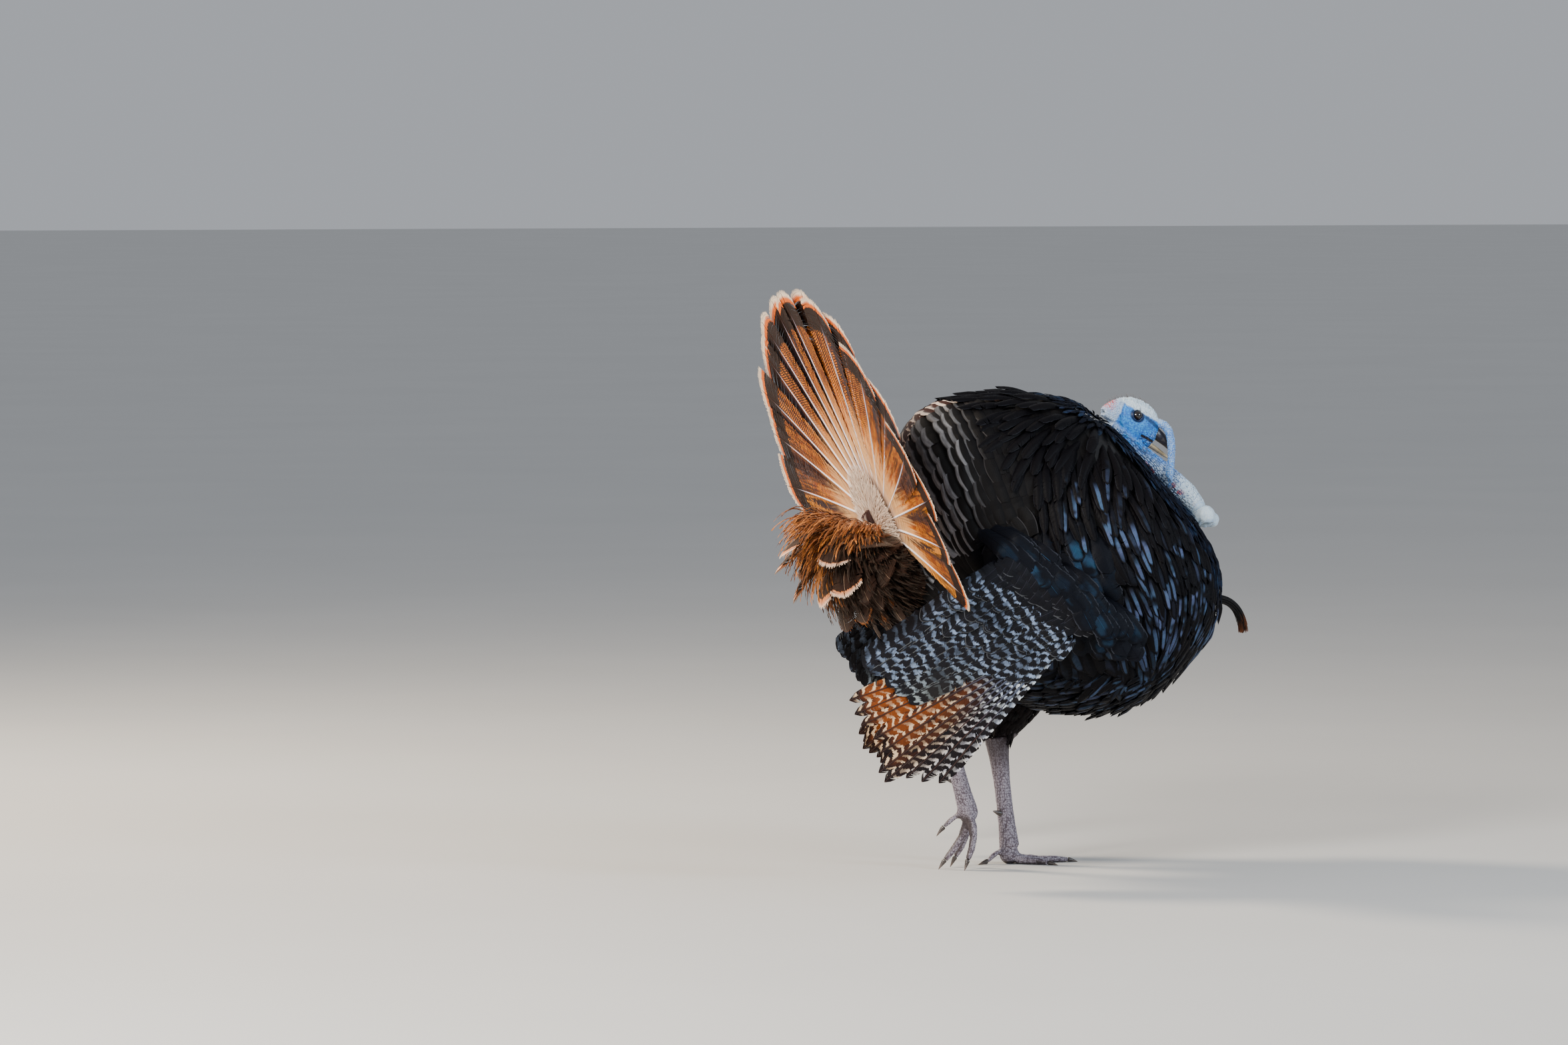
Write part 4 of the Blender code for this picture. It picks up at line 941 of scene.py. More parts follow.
# ---- the skin ------------------------------------------------------------------------------
def near_line(p, line):
    """Distance from each place to a line of points, and how far along it that is, from 0 to 1."""
    best = np.full(len(p), 9.0)
    run = np.zeros(len(p))
    lengths = np.linalg.norm(np.diff(line, axis=0), axis=1)
    before = np.concatenate([[0], np.cumsum(lengths)]) / lengths.sum()
    for i, (a, b) in enumerate(zip(line[:-1], line[1:])):
        t = np.clip(((p - a) @ (b - a)) / ((b - a) @ (b - a)), 0, 1)
        d = np.linalg.norm(p - (a + t[:, None] * (b - a)), axis=1)
        closer = d < best
        best = np.where(closer, d, best)
        run = np.where(closer, before[i] + t * (before[i + 1] - before[i]), run)
    return best, run


def joined_flesh():
    """All flesh solids in one mesh, in the places that this script works in."""
    places, faces, start = [], [], 0
    for name in TRUNK_NODES + BARE_NODES:
        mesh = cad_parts[name].data
        co = mesh_places(mesh) - AHEAD
        if name == "caruncle_right":  # drawn out clear of the breast's feathers
            co = (co - co.mean(0)) * 1.05 + CARUNCLE_BALLS[0][0]
        places.append(co)
        faces.append(mesh_triangles(mesh) + start)
        start += len(co)
    return np.concatenate(places), np.concatenate(faces)


def edge_pairs(mesh):
    """The two vertices of each edge."""
    pairs = np.zeros(len(mesh.edges) * 2, np.int64)
    mesh.edges.foreach_get("vertices", pairs)
    return pairs.reshape(-1, 2)


def relaxed(p, pairs, times):
    """Places or values drawn half way to the mean of their neighbours, several times."""
    count = np.bincount(pairs.ravel(), minlength=len(p)).clip(1)
    flat = p.reshape(len(p), -1)
    for _ in range(times):
        mean = np.stack([
            (np.bincount(pairs[:, 0], flat[pairs[:, 1], k], len(p))
             + np.bincount(pairs[:, 1], flat[pairs[:, 0], k], len(p))) / count
            for k in range(flat.shape[1])], -1)
        flat = flat + (mean - flat) * 0.5
    return flat.reshape(p.shape)


def mesh_places(mesh):
    """The places of a mesh's vertices."""
    co = np.zeros(len(mesh.vertices) * 3)
    mesh.vertices.foreach_get("co", co)
    return co.reshape(-1, 3)


def mesh_triangles(mesh):
    """The vertices of each triangle of a mesh."""
    mesh.calc_loop_triangles()
    tri = np.zeros(len(mesh.loop_triangles) * 3, np.int64)
    mesh.loop_triangles.foreach_get("vertices", tri)
    return tri.reshape(-1, 3)


def mesh_normals(mesh):
    co = np.zeros(len(mesh.vertices) * 3)
    mesh.vertex_normals.foreach_get("vector", co)
    return co.reshape(-1, 3)


def remeshed_flesh():
    """One closed mesh of even small faces over all the flesh."""
    places, faces = joined_flesh()
    mesh = bpy.data.meshes.new("flesh")
    mesh.from_pydata(places.tolist(), [], faces.tolist())
    obj = bpy.data.objects.new("flesh", mesh)
    bpy.context.scene.collection.objects.link(obj)
    remesh = obj.modifiers.new("remesh", "REMESH")
    remesh.mode, remesh.voxel_size, remesh.adaptivity = "VOXEL", SKIN_VOXEL, 0.0
    made = bpy.data.meshes.new_from_object(obj.evaluated_get(bpy.context.evaluated_depsgraph_get()))
    bpy.data.objects.remove(obj)
    return made


def feathered_share(p):
    """1 where the skin is under feathers, 0 where it is bare."""
    distance = trunk_level(p) / np.maximum(np.linalg.norm(trunk_slope(p), axis=-1), 1.0)
    share = (distance < 0.012).astype(float)
    neck, _ = near_line(p, NECK_LINE)
    share[(neck < 0.030) & (p[:, 0] > 0.15) & (trunk_level(p) > 0.012)] = 0
    for centre, radius in CARUNCLE_BALLS:
        share[np.linalg.norm(p - centre, axis=1) < 1.15 * radius] = 0
    root, _ = near_line(p, np.array([TAIL_ROOT - (0.05, 0, 0), TAIL_ROOT + (0.05, 0, 0)]))
    share[root < 0.05] = 1
    for leg in LEGS.values():
        line = np.array([leg["hip"], leg["hock"]])
        d, run = near_line(p, line)
        share[(d < 0.068) & (run < 0.90) & (p[:, 2] > 0.195)] = 1
    return share


def thinned(mesh, share, ratio):
    """The mesh with fewer faces under the feathers and all of them elsewhere."""
    obj = bpy.data.objects.new("thinned", mesh)
    bpy.context.scene.collection.objects.link(obj)
    group = obj.vertex_groups.new(name="feathered")
    group.add(np.nonzero(share > 0.5)[0].tolist(), 1.0, "REPLACE")
    fewer = obj.modifiers.new("fewer", "DECIMATE")
    fewer.ratio, fewer.vertex_group, fewer.vertex_group_factor = ratio, "feathered", 10.0
    made = bpy.data.meshes.new_from_object(obj.evaluated_get(bpy.context.evaluated_depsgraph_get()))
    bpy.data.objects.remove(obj)
    return made


def finer(mesh, wanted):
    """The mesh with the faces at the wanted vertices cut in four."""
    bm = bmesh.new()
    bm.from_mesh(mesh)
    bm.verts.ensure_lookup_table()
    edges = [e for e in bm.edges if wanted[e.verts[0].index] and wanted[e.verts[1].index]]
    bmesh.ops.subdivide_edges(bm, edges=edges, cuts=1, use_grid_fill=True, smooth=0.0)
    bmesh.ops.triangulate(bm, faces=[f for f in bm.faces if len(f.verts) > 4])
    bm.to_mesh(mesh)
    bm.free()
    mesh.update()
    return mesh


def eye_middle(side):
    return HEAD_CENTRE + HEAD_AHEAD * EYE_FORWARD + HEAD_UP * EYE_RAISE + np.array([0, side * EYE_Y, 0])


def head_frame(p):
    """Places as distances ahead of the head's middle, above it and beside it."""
    d = p - HEAD_CENTRE
    return d @ HEAD_AHEAD, d @ HEAD_UP, d[:, 1]


# Lines on the side of the head, as distances ahead of its middle and above it.
JAW_FOLD = np.array([(-0.033, 0.006), (-0.0313, -0.001), (-0.022, -0.014), (-0.0072, -0.0258),
                     (0.006, -0.0285), (0.021, -0.0262)])
GAPE_LINE = np.array([(0.0160, -0.0170), (0.026, -0.0165), (0.040, -0.0165)])
LORE_LINE = np.array([(-0.0055, 0.0065), (0.008, 0.0105), (0.022, 0.0085), (0.036, 0.006)])


def flat_line(a, b, line):
    flat = np.stack([a, b, np.zeros(len(a))], -1)
    return near_line(flat, np.column_stack([line, np.zeros(len(line))]))


def sculpt(p, n, bare, feathered):
    """Moves the bare skin into folds, lumps, lids and scutes.

    Returns the places and the fields that colour them.
    """
    count = len(p)
    names = ("white", "blue", "red", "lump", "leg", "scute", "down", "gape", "lore", "sole")
    fields = {name: np.zeros(count) for name in names}
    fields["down"] = feathered
    fields["lump"][:] = 1.0
    along, above, beside = head_frame(p)
    _, neck_run = near_line(p, NECK_LINE)
    leg_zone = (p[:, 2] < LEGS_TOP) & (bare > 0.2)
    head_zone = (p[:, 2] > NECK_LOW) & (bare > 0.2)
    snood_d, snood_run = near_line(p, SNOOD_LINE)
    balls = [np.linalg.norm(p - c, axis=1) / r for c, r in CARUNCLE_BALLS]
    ball = np.min(balls, axis=0)
    i = np.nonzero(head_zone)[0]
    q, a, b, s = p[i], along[i], above[i], beside[i]
    nn = n[i]
    rough = chaos(q, 0.006)
    small = chaos(q + 5.0, 0.0026)
    # where each kind of skin lies
    is_snood = smooth(0.0085, 0.0070, snood_d[i]) * smooth(0.0, 0.10, snood_run[i] + 0.02)
    is_ball = smooth(1.20, 1.05, ball[i])
    below_head = (HEAD_CENTRE[2] - q[:, 2]) + 0.35 * (q[:, 0] - HEAD_CENTRE[0])
    on_neck = smooth(0.021, 0.030, below_head + 0.0015 * rough)
    on_neck = np.maximum(on_neck, smooth(-0.020, -0.028, b + 0.1 * a))
    fold_d, _ = flat_line(a, b, JAW_FOLD)
    below_fold = smooth(-0.0200, -0.0300, b + 0.30 * np.minimum(a + 0.01, 0))
    wattled = np.clip(np.maximum(on_neck, below_fold), 0, 1) * (1 - is_snood) * (1 - is_ball)
    nape = smooth(-0.030, -0.036, a + 0.0018 * rough) * (1 - wattled)
    # long lumps in rows down the neck
    lie = np.array([0.70, 0, -0.714])
    perp = np.array([0.714, 0, 0.70])
    skew = q @ lie
    coords = np.stack([skew / 0.0078, (q @ perp) / 0.0032, q[:, 1] / 0.0032], -1)
    f1, f2 = cells(coords, 3)
    rows = smooth(0.04, 0.34, f2 - f1)
    low_front = smooth(0.255, 0.285, q[:, 0])
    f1b, f2b = cells(q / 0.0034, 5)
    knobs = smooth(0.05, 0.40, f2b - f1b)
    rise = np.zeros(len(i))
    rise += wattled * (0.0013 * rows * mix(1.0, 0.55, low_front) - 0.0007)
    rise += nape * (0.0009 * knobs - 0.0003)
    crown = smooth(0.0115, 0.0150, b + 0.0016 * rough) * (1 - nape * 0.6)
    rise += crown * (0.00055 * smooth(0.0, 0.5, small) + 0.0008 * smooth(0.2, 0.9, rough))
    rise += is_ball * 0.00035 * rough
    # the snood is ringed with fine creases
    ring = np.sin(snood_run[i] * 150.0 + 1.5 * rough)
    f1s, f2s = cells(q / 0.0028, 8)
    rise += is_snood * (0.00045 * smooth(0.0, 0.45, f2s - f1s) + 0.00018 * ring)
    # the fold from behind the eye to the corner of the bill
    face = (1 - wattled) * (1 - is_snood) * (1 - is_ball)
    fold = 0.0016 * np.exp(-(fold_d / 0.0019) ** 2) - 0.0009 * np.exp(-((fold_d - 0.0042) / 0.0018) ** 2)
    rise += (1 - is_snood) * (1 - is_ball) * fold
    rise += face * 0.00035 * smooth(0.0, 0.5, f2b - f1b) * smooth(0.012, 0.004, b)
    # brow over the eye, hollow lore before it
    lore_d, lore_run = flat_line(a, b, LORE_LINE)
    rise -= face * 0.0012 * np.exp(-(lore_d / 0.0030) ** 2) * smooth(0.25, 0.45, lore_run)
    gape_d, _ = flat_line(a, b, GAPE_LINE)
    mouth = smooth(0.0030, 0.0012, gape_d) * (np.abs(s) > 0.004) * (a > 0.010)
    rise -= mouth * 0.0012
    q = q + nn * rise[:, None]
    # lids: the rim of the socket stands up round the eyeball and closes in on it
    for side in (-1, 1):
        d = q - eye_middle(side)
        h = d[:, 1] * side
        ea, eb = d @ HEAD_AHEAD, d @ HEAD_UP
        r = np.hypot(ea * 0.94, eb * 1.10)
        outer = h > 0.0015
        rim = np.exp(-((r - 0.0078) / 0.0015) ** 2) * outer
        crease = np.exp(-((r - 0.0108) / 0.0011) ** 2) * outer
        q = q + np.array([0, side, 0]) * (0.0019 * rim - 0.0006 * crease)[:, None]
        pull = smooth(0.0094, 0.0072, r) * smooth(0.0050, 0.0064, r) * outer * 0.0011
        q = q - (HEAD_AHEAD * (ea / r.clip(1e-4))[:, None]
                 + HEAD_UP * (eb / r.clip(1e-4))[:, None]) * pull[:, None]
        fields["lore"][i] = np.maximum(fields["lore"][i], smooth(0.0128, 0.0098, r) * outer * (b < 0.02))
    p[i] = q
    lore = 0.8 * smooth(0.0040, 0.0016, lore_d) * smooth(0.15, 0.35, lore_run) * face
    fields["lore"][i] = np.maximum(fields["lore"][i], lore)
    fields["gape"][i] = mouth
    fields["lump"][i] = mix(1.0, mix(rows, 1.0, 0.15 * low_front), wattled)
    fields["lump"][i] = mix(fields["lump"][i], knobs * 0.5 + 0.5, nape)
    fields["lump"][i] = mix(fields["lump"][i], 1.0, np.exp(-(fold_d / 0.0022) ** 2) * (1 - is_snood))
    fields["white"][i] = np.clip(np.maximum.reduce([crown, is_ball, wattled * mix(0.35, 1.0, low_front),
                                                    0.40 * smooth(0.25, 0.5, f2s - f1s) * is_snood]), 0, 1)
    jowl = wattled * smooth(-0.046, -0.034, b) * smooth(-0.024, -0.008, a)
    upper_neck = wattled * (1 - low_front) * smooth(0.75, 0.35, neck_run[i])
    fields["blue"][i] = np.clip(face * (1 - crown) * (1 - nape) * smooth(-0.034, -0.030, a)
                                + is_snood * mix(0.30, 0.85, smooth(0.34, 0.12, f2s - f1s)) + 0.75 * jowl
                                + (0.20 + 0.25 * rough) * upper_neck, 0, 1)
    top_back = smooth(-0.038, -0.046, a) * smooth(-0.010, 0.002, b) * smooth(0.2, 0.6, knobs)
    spots = (smooth(0.62, 0.80, chaos(q + 9.0, 0.011)) * wattled * smooth(0.30, 0.45, neck_run[i])
             * smooth(0.95, 0.80, neck_run[i]) * smooth(0.014, 0.004, (q @ perp) - 0.575))
    fields["red"][i] = np.clip(top_back + spots, 0, 1)
    # scutes: small and many-sided on the shin, wide ones across the toes
    i = np.nonzero(leg_zone)[0]
    q, nn = p[i], n[i]
    toe = np.zeros(len(i))
    # sole marks the skin that faces down, the back of the right ankle and the skin round the hock: it
    # flattens the scutes there, and the colour paints it as shade
    sole = np.zeros(len(i))
    for name, leg in LEGS.items():
        ankle = np.array(leg["ankle"])
        hock = np.array(leg["hock"])
        near = np.linalg.norm(q[:, :2] - ankle[:2], axis=1) < 0.13
        mine = near & ((q[:, 1] > -0.008) == (name == "left"))
        low = ankle[2] - 0.004 if name == "right" else 0.018
        toe = np.where(mine, smooth(low + 0.006, low - 0.004, q[:, 2]), toe)
        if name == "left":
            sole = np.where(mine, smooth(0.35, 0.75, -nn[:, 2]), sole)
        else:
            behind = smooth(0.1, 0.5, -(nn @ unit(np.array([0.9, 0, 0.35]))))
            behind = behind * smooth(ankle[2] + 0.004, ankle[2] - 0.010, q[:, 2])
            sole = np.where(mine, np.maximum(behind * 0.9, smooth(0.5, 0.8, -nn[:, 2])), sole)
        knee = 0.75 * smooth(0.075, 0.020, np.linalg.norm(q - hock, axis=1))
        sole = np.maximum(sole, np.where(mine | (q[:, 2] > 0.12), knee, 0))
    f1, f2 = cells(q / np.array([0.0030, 0.0030, 0.0044]), 11)
    tiles = smooth(0.04, 0.30, f2 - f1)
    f1, f2 = cells(q / np.array([0.0034, 0.0052, 0.0034]), 12)
    toe_tiles = smooth(0.04, 0.30, f2 - f1)
    scute = mix(tiles, toe_tiles, toe)
    p[i] = q + nn * (0.00055 * scute - 0.00020)[:, None] * (1 - 0.4 * sole)[:, None]
    p[i, 2] = np.maximum(p[i, 2], 0.0)
    fields["leg"][i] = 1.0
    fields["scute"][i] = scute * mix(1.0, 0.75, 0.5 + 0.5 * chaos(q, 0.02))
    fields["sole"][i] = sole
    return p, fields


def build_skin():
    """The one skin over all the flesh, sculpted where it is bare."""
    mesh = remeshed_flesh()
    p = mesh_places(mesh)
    mesh = thinned(mesh, feathered_share(p), HIDDEN_KEPT)
    for level in range(2):
        p = mesh_places(mesh)
        wanted = feathered_share(p) < 0.5
        if level:
            wanted &= (p[:, 2] > 0.585) & (trunk_level(p) > 0.012)
        mesh = finer(mesh, wanted)
    p, pairs = mesh_places(mesh), edge_pairs(mesh)
    feathered = relaxed(feathered_share(p), pairs, SKIN_ROUNDS)
    bare = 1 - feathered
    gentle = relaxed(p, pairs, SKIN_ROUNDS)
    joins = np.zeros(len(p))
    for leg in LEGS.values():
        joins = np.maximum(joins, smooth(0.034, 0.014, np.linalg.norm(p - np.array(leg["ankle"]), axis=1)))
    p = mix(p, gentle, mix(0.75, 1.0, feathered)[:, None])
    p = mix(p, relaxed(p, pairs, JOIN_ROUNDS), joins[:, None])
    mesh.vertices.foreach_set("co", p.ravel())
    mesh.update()
    n = mesh_normals(mesh)
    on_back = smooth(0.07, -0.02, p[:, 0]) * smooth(0.44, 0.54, p[:, 2])
    depth = mix(COAT_DEPTH, BACK_DEPTH, on_back) * feathered
    depth = depth + HOLLOW_DEPTH * hollow(p) * feathered
    p = p - n * depth[:, None]
    p, fields = sculpt(p, n, bare, feathered)
    skin = piece("skin_whole", p, mesh_triangles(mesh), SKIN, TRUNK_NODES + BARE_NODES, fields)
    bpy.data.meshes.remove(mesh)
    return skin


# ---- body feathers -------------------------------------------------------------------------
def lie_at(p, out):
    """The way the coat lies at each place, along the surface whose way out is given."""
    gap = (p[..., None, 0] - LIE_SAMPLES[:, 0]) ** 2 + (p[..., None, 2] - LIE_SAMPLES[:, 1]) ** 2
    weight = 1 / (gap + 0.0003) ** 2
    angle = np.radians(np.sum(weight * LIE_SAMPLES[:, 2], -1) / np.sum(weight, -1))
    spread = np.clip(p[..., 1] / 0.10, -1, 1) * 0.55
    way = np.stack([np.cos(angle), spread, np.sin(angle)], -1)
    under = smooth(-0.45, -0.90, out[..., 2])[..., None]
    way = mix(way, np.array([-1.0, 0.0, 0.0]), under)
    return unit(way - out * dot(way, out))


def scatter(rng, tries, gaps, wanted):
    """Places spread over the trunk; gaps gives the room each keeps along its lie and across it."""
    x = rng.uniform(TRUNK_TABLE[0, 0], TRUNK_TABLE[-1, 0], tries)
    a = rng.uniform(0, 2 * math.pi, tries)
    top, bottom, half = (np.interp(x, TRUNK_TABLE[:, 0], TRUNK_TABLE[:, i]) for i in (1, 2, 3))
    middle = bottom + TRUNK_WIDEST * (top - bottom)
    rise = np.where(np.sin(a) > 0, top - middle, middle - bottom) * np.sin(a)
    p = np.stack([x, half * np.cos(a), middle + rise], -1)
    p, n = onto_trunk(p)
    keep = wanted(p)
    p, n = p[keep], n[keep]
    way = lie_at(p, n)
    long_gap, wide_gap = gaps(p)
    frame_along = way / long_gap[:, None]
    frame_across = np.cross(n, way) / wide_gap[:, None]
    frame_out = n / wide_gap[:, None]
    axes = np.stack([frame_along, frame_across, frame_out], 1)
    keys = np.floor(p / float(long_gap.max())).astype(int)
    around = [(i, j, k) for i in (-1, 0, 1) for j in (-1, 0, 1) for k in (-1, 0, 1)]
    seen, kept = {}, []
    for i, key in enumerate(map(tuple, keys)):
        near = [j for o in around for j in seen.get((key[0] + o[0], key[1] + o[1], key[2] + o[2]), ())]
        if near:
            d = (p[near] - p[i]) @ axes[i].T
            if np.min(np.einsum("ij,ij->i", d, d)) < 1:
                continue
        seen.setdefault(key, []).append(i)
        kept.append(i)
    return p[kept], n[kept]


def body_map(p):
    """Each place on an unwrap of the trunk: round it and along it."""
    u = np.arctan2(p[:, 1], p[:, 2] - 0.46) / (2 * math.pi) + 0.5
    v = (p[:, 0] - TRUNK_TABLE[0, 0]) / (TRUNK_TABLE[-1, 0] - TRUNK_TABLE[0, 0])
    uv = np.stack([u, v], -1)
    low, high = uv.min(0), uv.max(0)
    return 0.01 + (uv - low) / np.maximum(high - low, 1e-6) * 0.975


def laid(p, out, length, rows, sink, lift, pitch, curl, swing):
    """Shaft lines that start sunk under the surface, follow it along the lie, and stand off it by pitch."""
    n = len(p)
    way = lie_at(p, out)
    c, s = np.cos(swing)[:, None], np.sin(swing)[:, None]
    way = way * c + np.cross(out, way) * s
    spine, ways = [], []
    step = length / rows
    for i in range(rows + 1):
        t = i / rows
        rise = mix(-sink, lift, smooth(0.0, 0.75, np.full(n, t)))
        rise = rise + length * (np.sin(pitch) * t - curl * t**3)
        spine.append(p + out * rise[:, None])
        ways.append(out)
        forward = step * np.cos(np.clip(pitch - 2.2 * curl * t * t, 0, 1.2))
        p, out = onto_trunk(p + way * forward[:, None], 2)
        way = unit(way - out * dot(way, out))
    return np.stack(spine, 1), np.stack(ways, 1)


def body_coat(name, made_of, seed, p, n, length, half, rows=9, sink=COAT_DEPTH, lift=0.0015, pitch=0.0,
              curl=0.0, tone=1.0, pale=0.0, shape=(0.30, 0.62, 0.42), swing=0.06, roll=0.10, vary=0.12,
              turn=0.0, **more):
    """One tract of body feathers as one piece."""
    rng = np.random.default_rng(seed)
    count = len(p)
    ones = np.ones(count)
    size = ones * length * rng.uniform(1 - vary, 1 + vary, count)
    lower = HOLLOW_DEPTH * hollow(p)
    higher = lift - lower + rng.uniform(-1, 1, count) * 0.0014 * min(1, vary * 10)
    pitches = ones * pitch * rng.uniform(1 - 1.5 * vary, 1 + 1.5 * vary, count)
    turns = turn + rng.normal(0, swing, count)
    spine, out = laid(p, n, size, rows, ones * sink + lower, higher, pitches, curl, turns)
    widest = ones * half * rng.uniform(1 - vary, 1 + vary, count)
    width = widest[:, None, None] * vane_shape(rows, *shape)[None, :, None]
    tilt = rng.normal(0, roll, count)
    steps = unit(np.diff(spine, axis=1))
    # feathers that would fold, lie past the breast's front or reach the caruncles are dropped
    straight = np.min(np.sum(steps[:, 1:] * steps[:, :-1], -1), axis=1)
    fair = (straight > 0.6) & (p[:, 0] < TRUNK_STATIONS[-1][0])
    for centre, radius in CARUNCLE_BALLS:
        fair &= np.min(np.linalg.norm(spine - centre, axis=-1), axis=1) > radius + 0.0015
    coat = Coat(seed + 1)
    coat.add(spine[fair], out[fair], np.repeat(width, 2, axis=2)[fair], body_map(p)[fair],
             roll=tilt[fair, None, None], tone=(ones * tone)[fair], pale=(ones * pale)[fair], **more)
    return coat.make(name, made_of)


def ball_distance(p):
    """Distance to the middle of the nearest round caruncle."""
    return np.min([np.linalg.norm(p - c, axis=1) for c, _ in CARUNCLE_BALLS], axis=0)


def hollow(p):
    """1 beside the hanging caruncles, where the coat lies lower."""
    return smooth(0.075, 0.026, ball_distance(p))


def neck_near(p):
    """Distance to the line of the bare neck, drawn out to the front of the breast."""
    return near_line(p, np.vstack([NECK_LINE, [(0.312, 0, 0.505)]]))[0]


# The way the coat lies on the side: x, z, and degrees turned up from straight ahead.
LIE_SAMPLES = np.array([
    (-0.190, 0.620, 188), (-0.108, 0.600, 187), (-0.110, 0.520, 192), (-0.160, 0.480, 220),
    (-0.067, 0.680, 186), (0.000, 0.705, 196), (-0.040, 0.560, 205), (0.020, 0.560, 285),
    (-0.010, 0.480, 312), (-0.057, 0.500, 300), (0.045, 0.610, 272), (0.070, 0.550, 290),
    (0.103, 0.500, 297), (0.150, 0.560, 296), (0.200, 0.500, 300), (0.253, 0.440, 280),
    (0.150, 0.400, 290), (0.230, 0.350, 277), (0.088, 0.350, 286), (0.108, 0.270, 276),
    (0.180, 0.280, 270), (0.046, 0.250, 250), (0.000, 0.260, 235), (-0.060, 0.400, 235),
    (0.100, 0.700, 215), (0.170, 0.650, 260), (0.300, 0.450, 272), (0.260, 0.540, 285),
])
TRACTS = {  # room along the lie, room across it, a feather's length, its half width
    "ruff": (0.0066, 0.0032, 0.030, 0.0026), "breast": (0.0300, 0.0076, 0.076, 0.0069),
    "mantle": (0.0360, 0.0088, 0.090, 0.0078), "scapular": (0.0280, 0.0170, 0.082, 0.0160),
    "flank": (0.0230, 0.0130, 0.058, 0.0115), "belly": (0.0200, 0.0100, 0.052, 0.0092),
}


def tract_of(p):
    """The name of the tract each place on the trunk is in; back is feathered in rows of its own."""
    x, z = p[:, 0], p[:, 2]
    near = neck_near(p)
    which = np.full(len(p), "flank", dtype="U8")
    which[x > 0.115] = "breast"
    which[(x <= 0.150) & (z > 0.50)] = "mantle"
    which[(x > 0.120) & (z > 0.56)] = "mantle"
    which[(x > -0.105) & (x <= 0.085) & (z > 0.38) & (z <= 0.545 + 0.20 * (x + 0.03))] = "scapular"
    which[(x + 0.12 * (z - 0.6) < 0.004) & (z > back_low(x) + 0.008)] = "back"
    which[(z < 0.305) & (x <= 0.20)] = "belly"
    which[(near < mix(0.116, 0.092, smooth(0.58, 0.65, z))) & (z > 0.435) & (x > 0.06)] = "ruff"
    return which


# Rows across the back: how many, where the first lies, from row to row, from feather to feather.
BACK_ROWS = 27
BACK_ROW_FIRST = 0.070
BACK_ROW_PITCH = 0.0142
BACK_ROW_STEP = 0.034


def back_rows(rng):
    """Roots in rows across the back, from the ridge down each side, and each root's turn off the lie."""
    start = np.array([[BACK_ROW_FIRST, 0.0, np.interp(BACK_ROW_FIRST, TRUNK_TABLE[:, 0], TRUNK_TABLE[:, 1])]])
    ridge, way_out = [], []
    p, n = onto_trunk(start)
    for _ in range(BACK_ROWS):
        ridge.append(p[0])
        way_out.append(n[0])
        p, n = onto_trunk(p + lie_at(p, n) * BACK_ROW_PITCH)
    places, ways, rows, turns = [], [], [], []
    for side in (-1, 1):
        p, n = np.array(ridge), np.array(way_out)
        down = np.array([0.16, side, -0.80])
        step = np.full(len(p), 0.42 * BACK_ROW_STEP)
        for _ in range(10):
            for _ in range(2):
                row_way = unit(down - n * dot(n, down))
                p, n = onto_trunk(p + row_way * step[:, None] / 2)
            row_way = unit(down - n * dot(n, down))
            lie = lie_at(p, n)
            face = np.cross(n, row_way)
            face = face * np.sign(dot(face, lie))
            turn = np.arctan2(dot(np.cross(n, lie), face)[:, 0], dot(lie, face)[:, 0])
            places.append(p)
            ways.append(n)
            rows.append(np.arange(BACK_ROWS))
            turns.append(turn)
            step = BACK_ROW_STEP * rng.uniform(0.92, 1.08, len(p))
    p, n, rows, turns = (np.concatenate(v) for v in (places, ways, rows, turns))
    keep = p[:, 2] > back_low(p[:, 0]) - 0.032
    return p[keep], n[keep], rows[keep], turns[keep]


SCATTER_TRIES = 110000


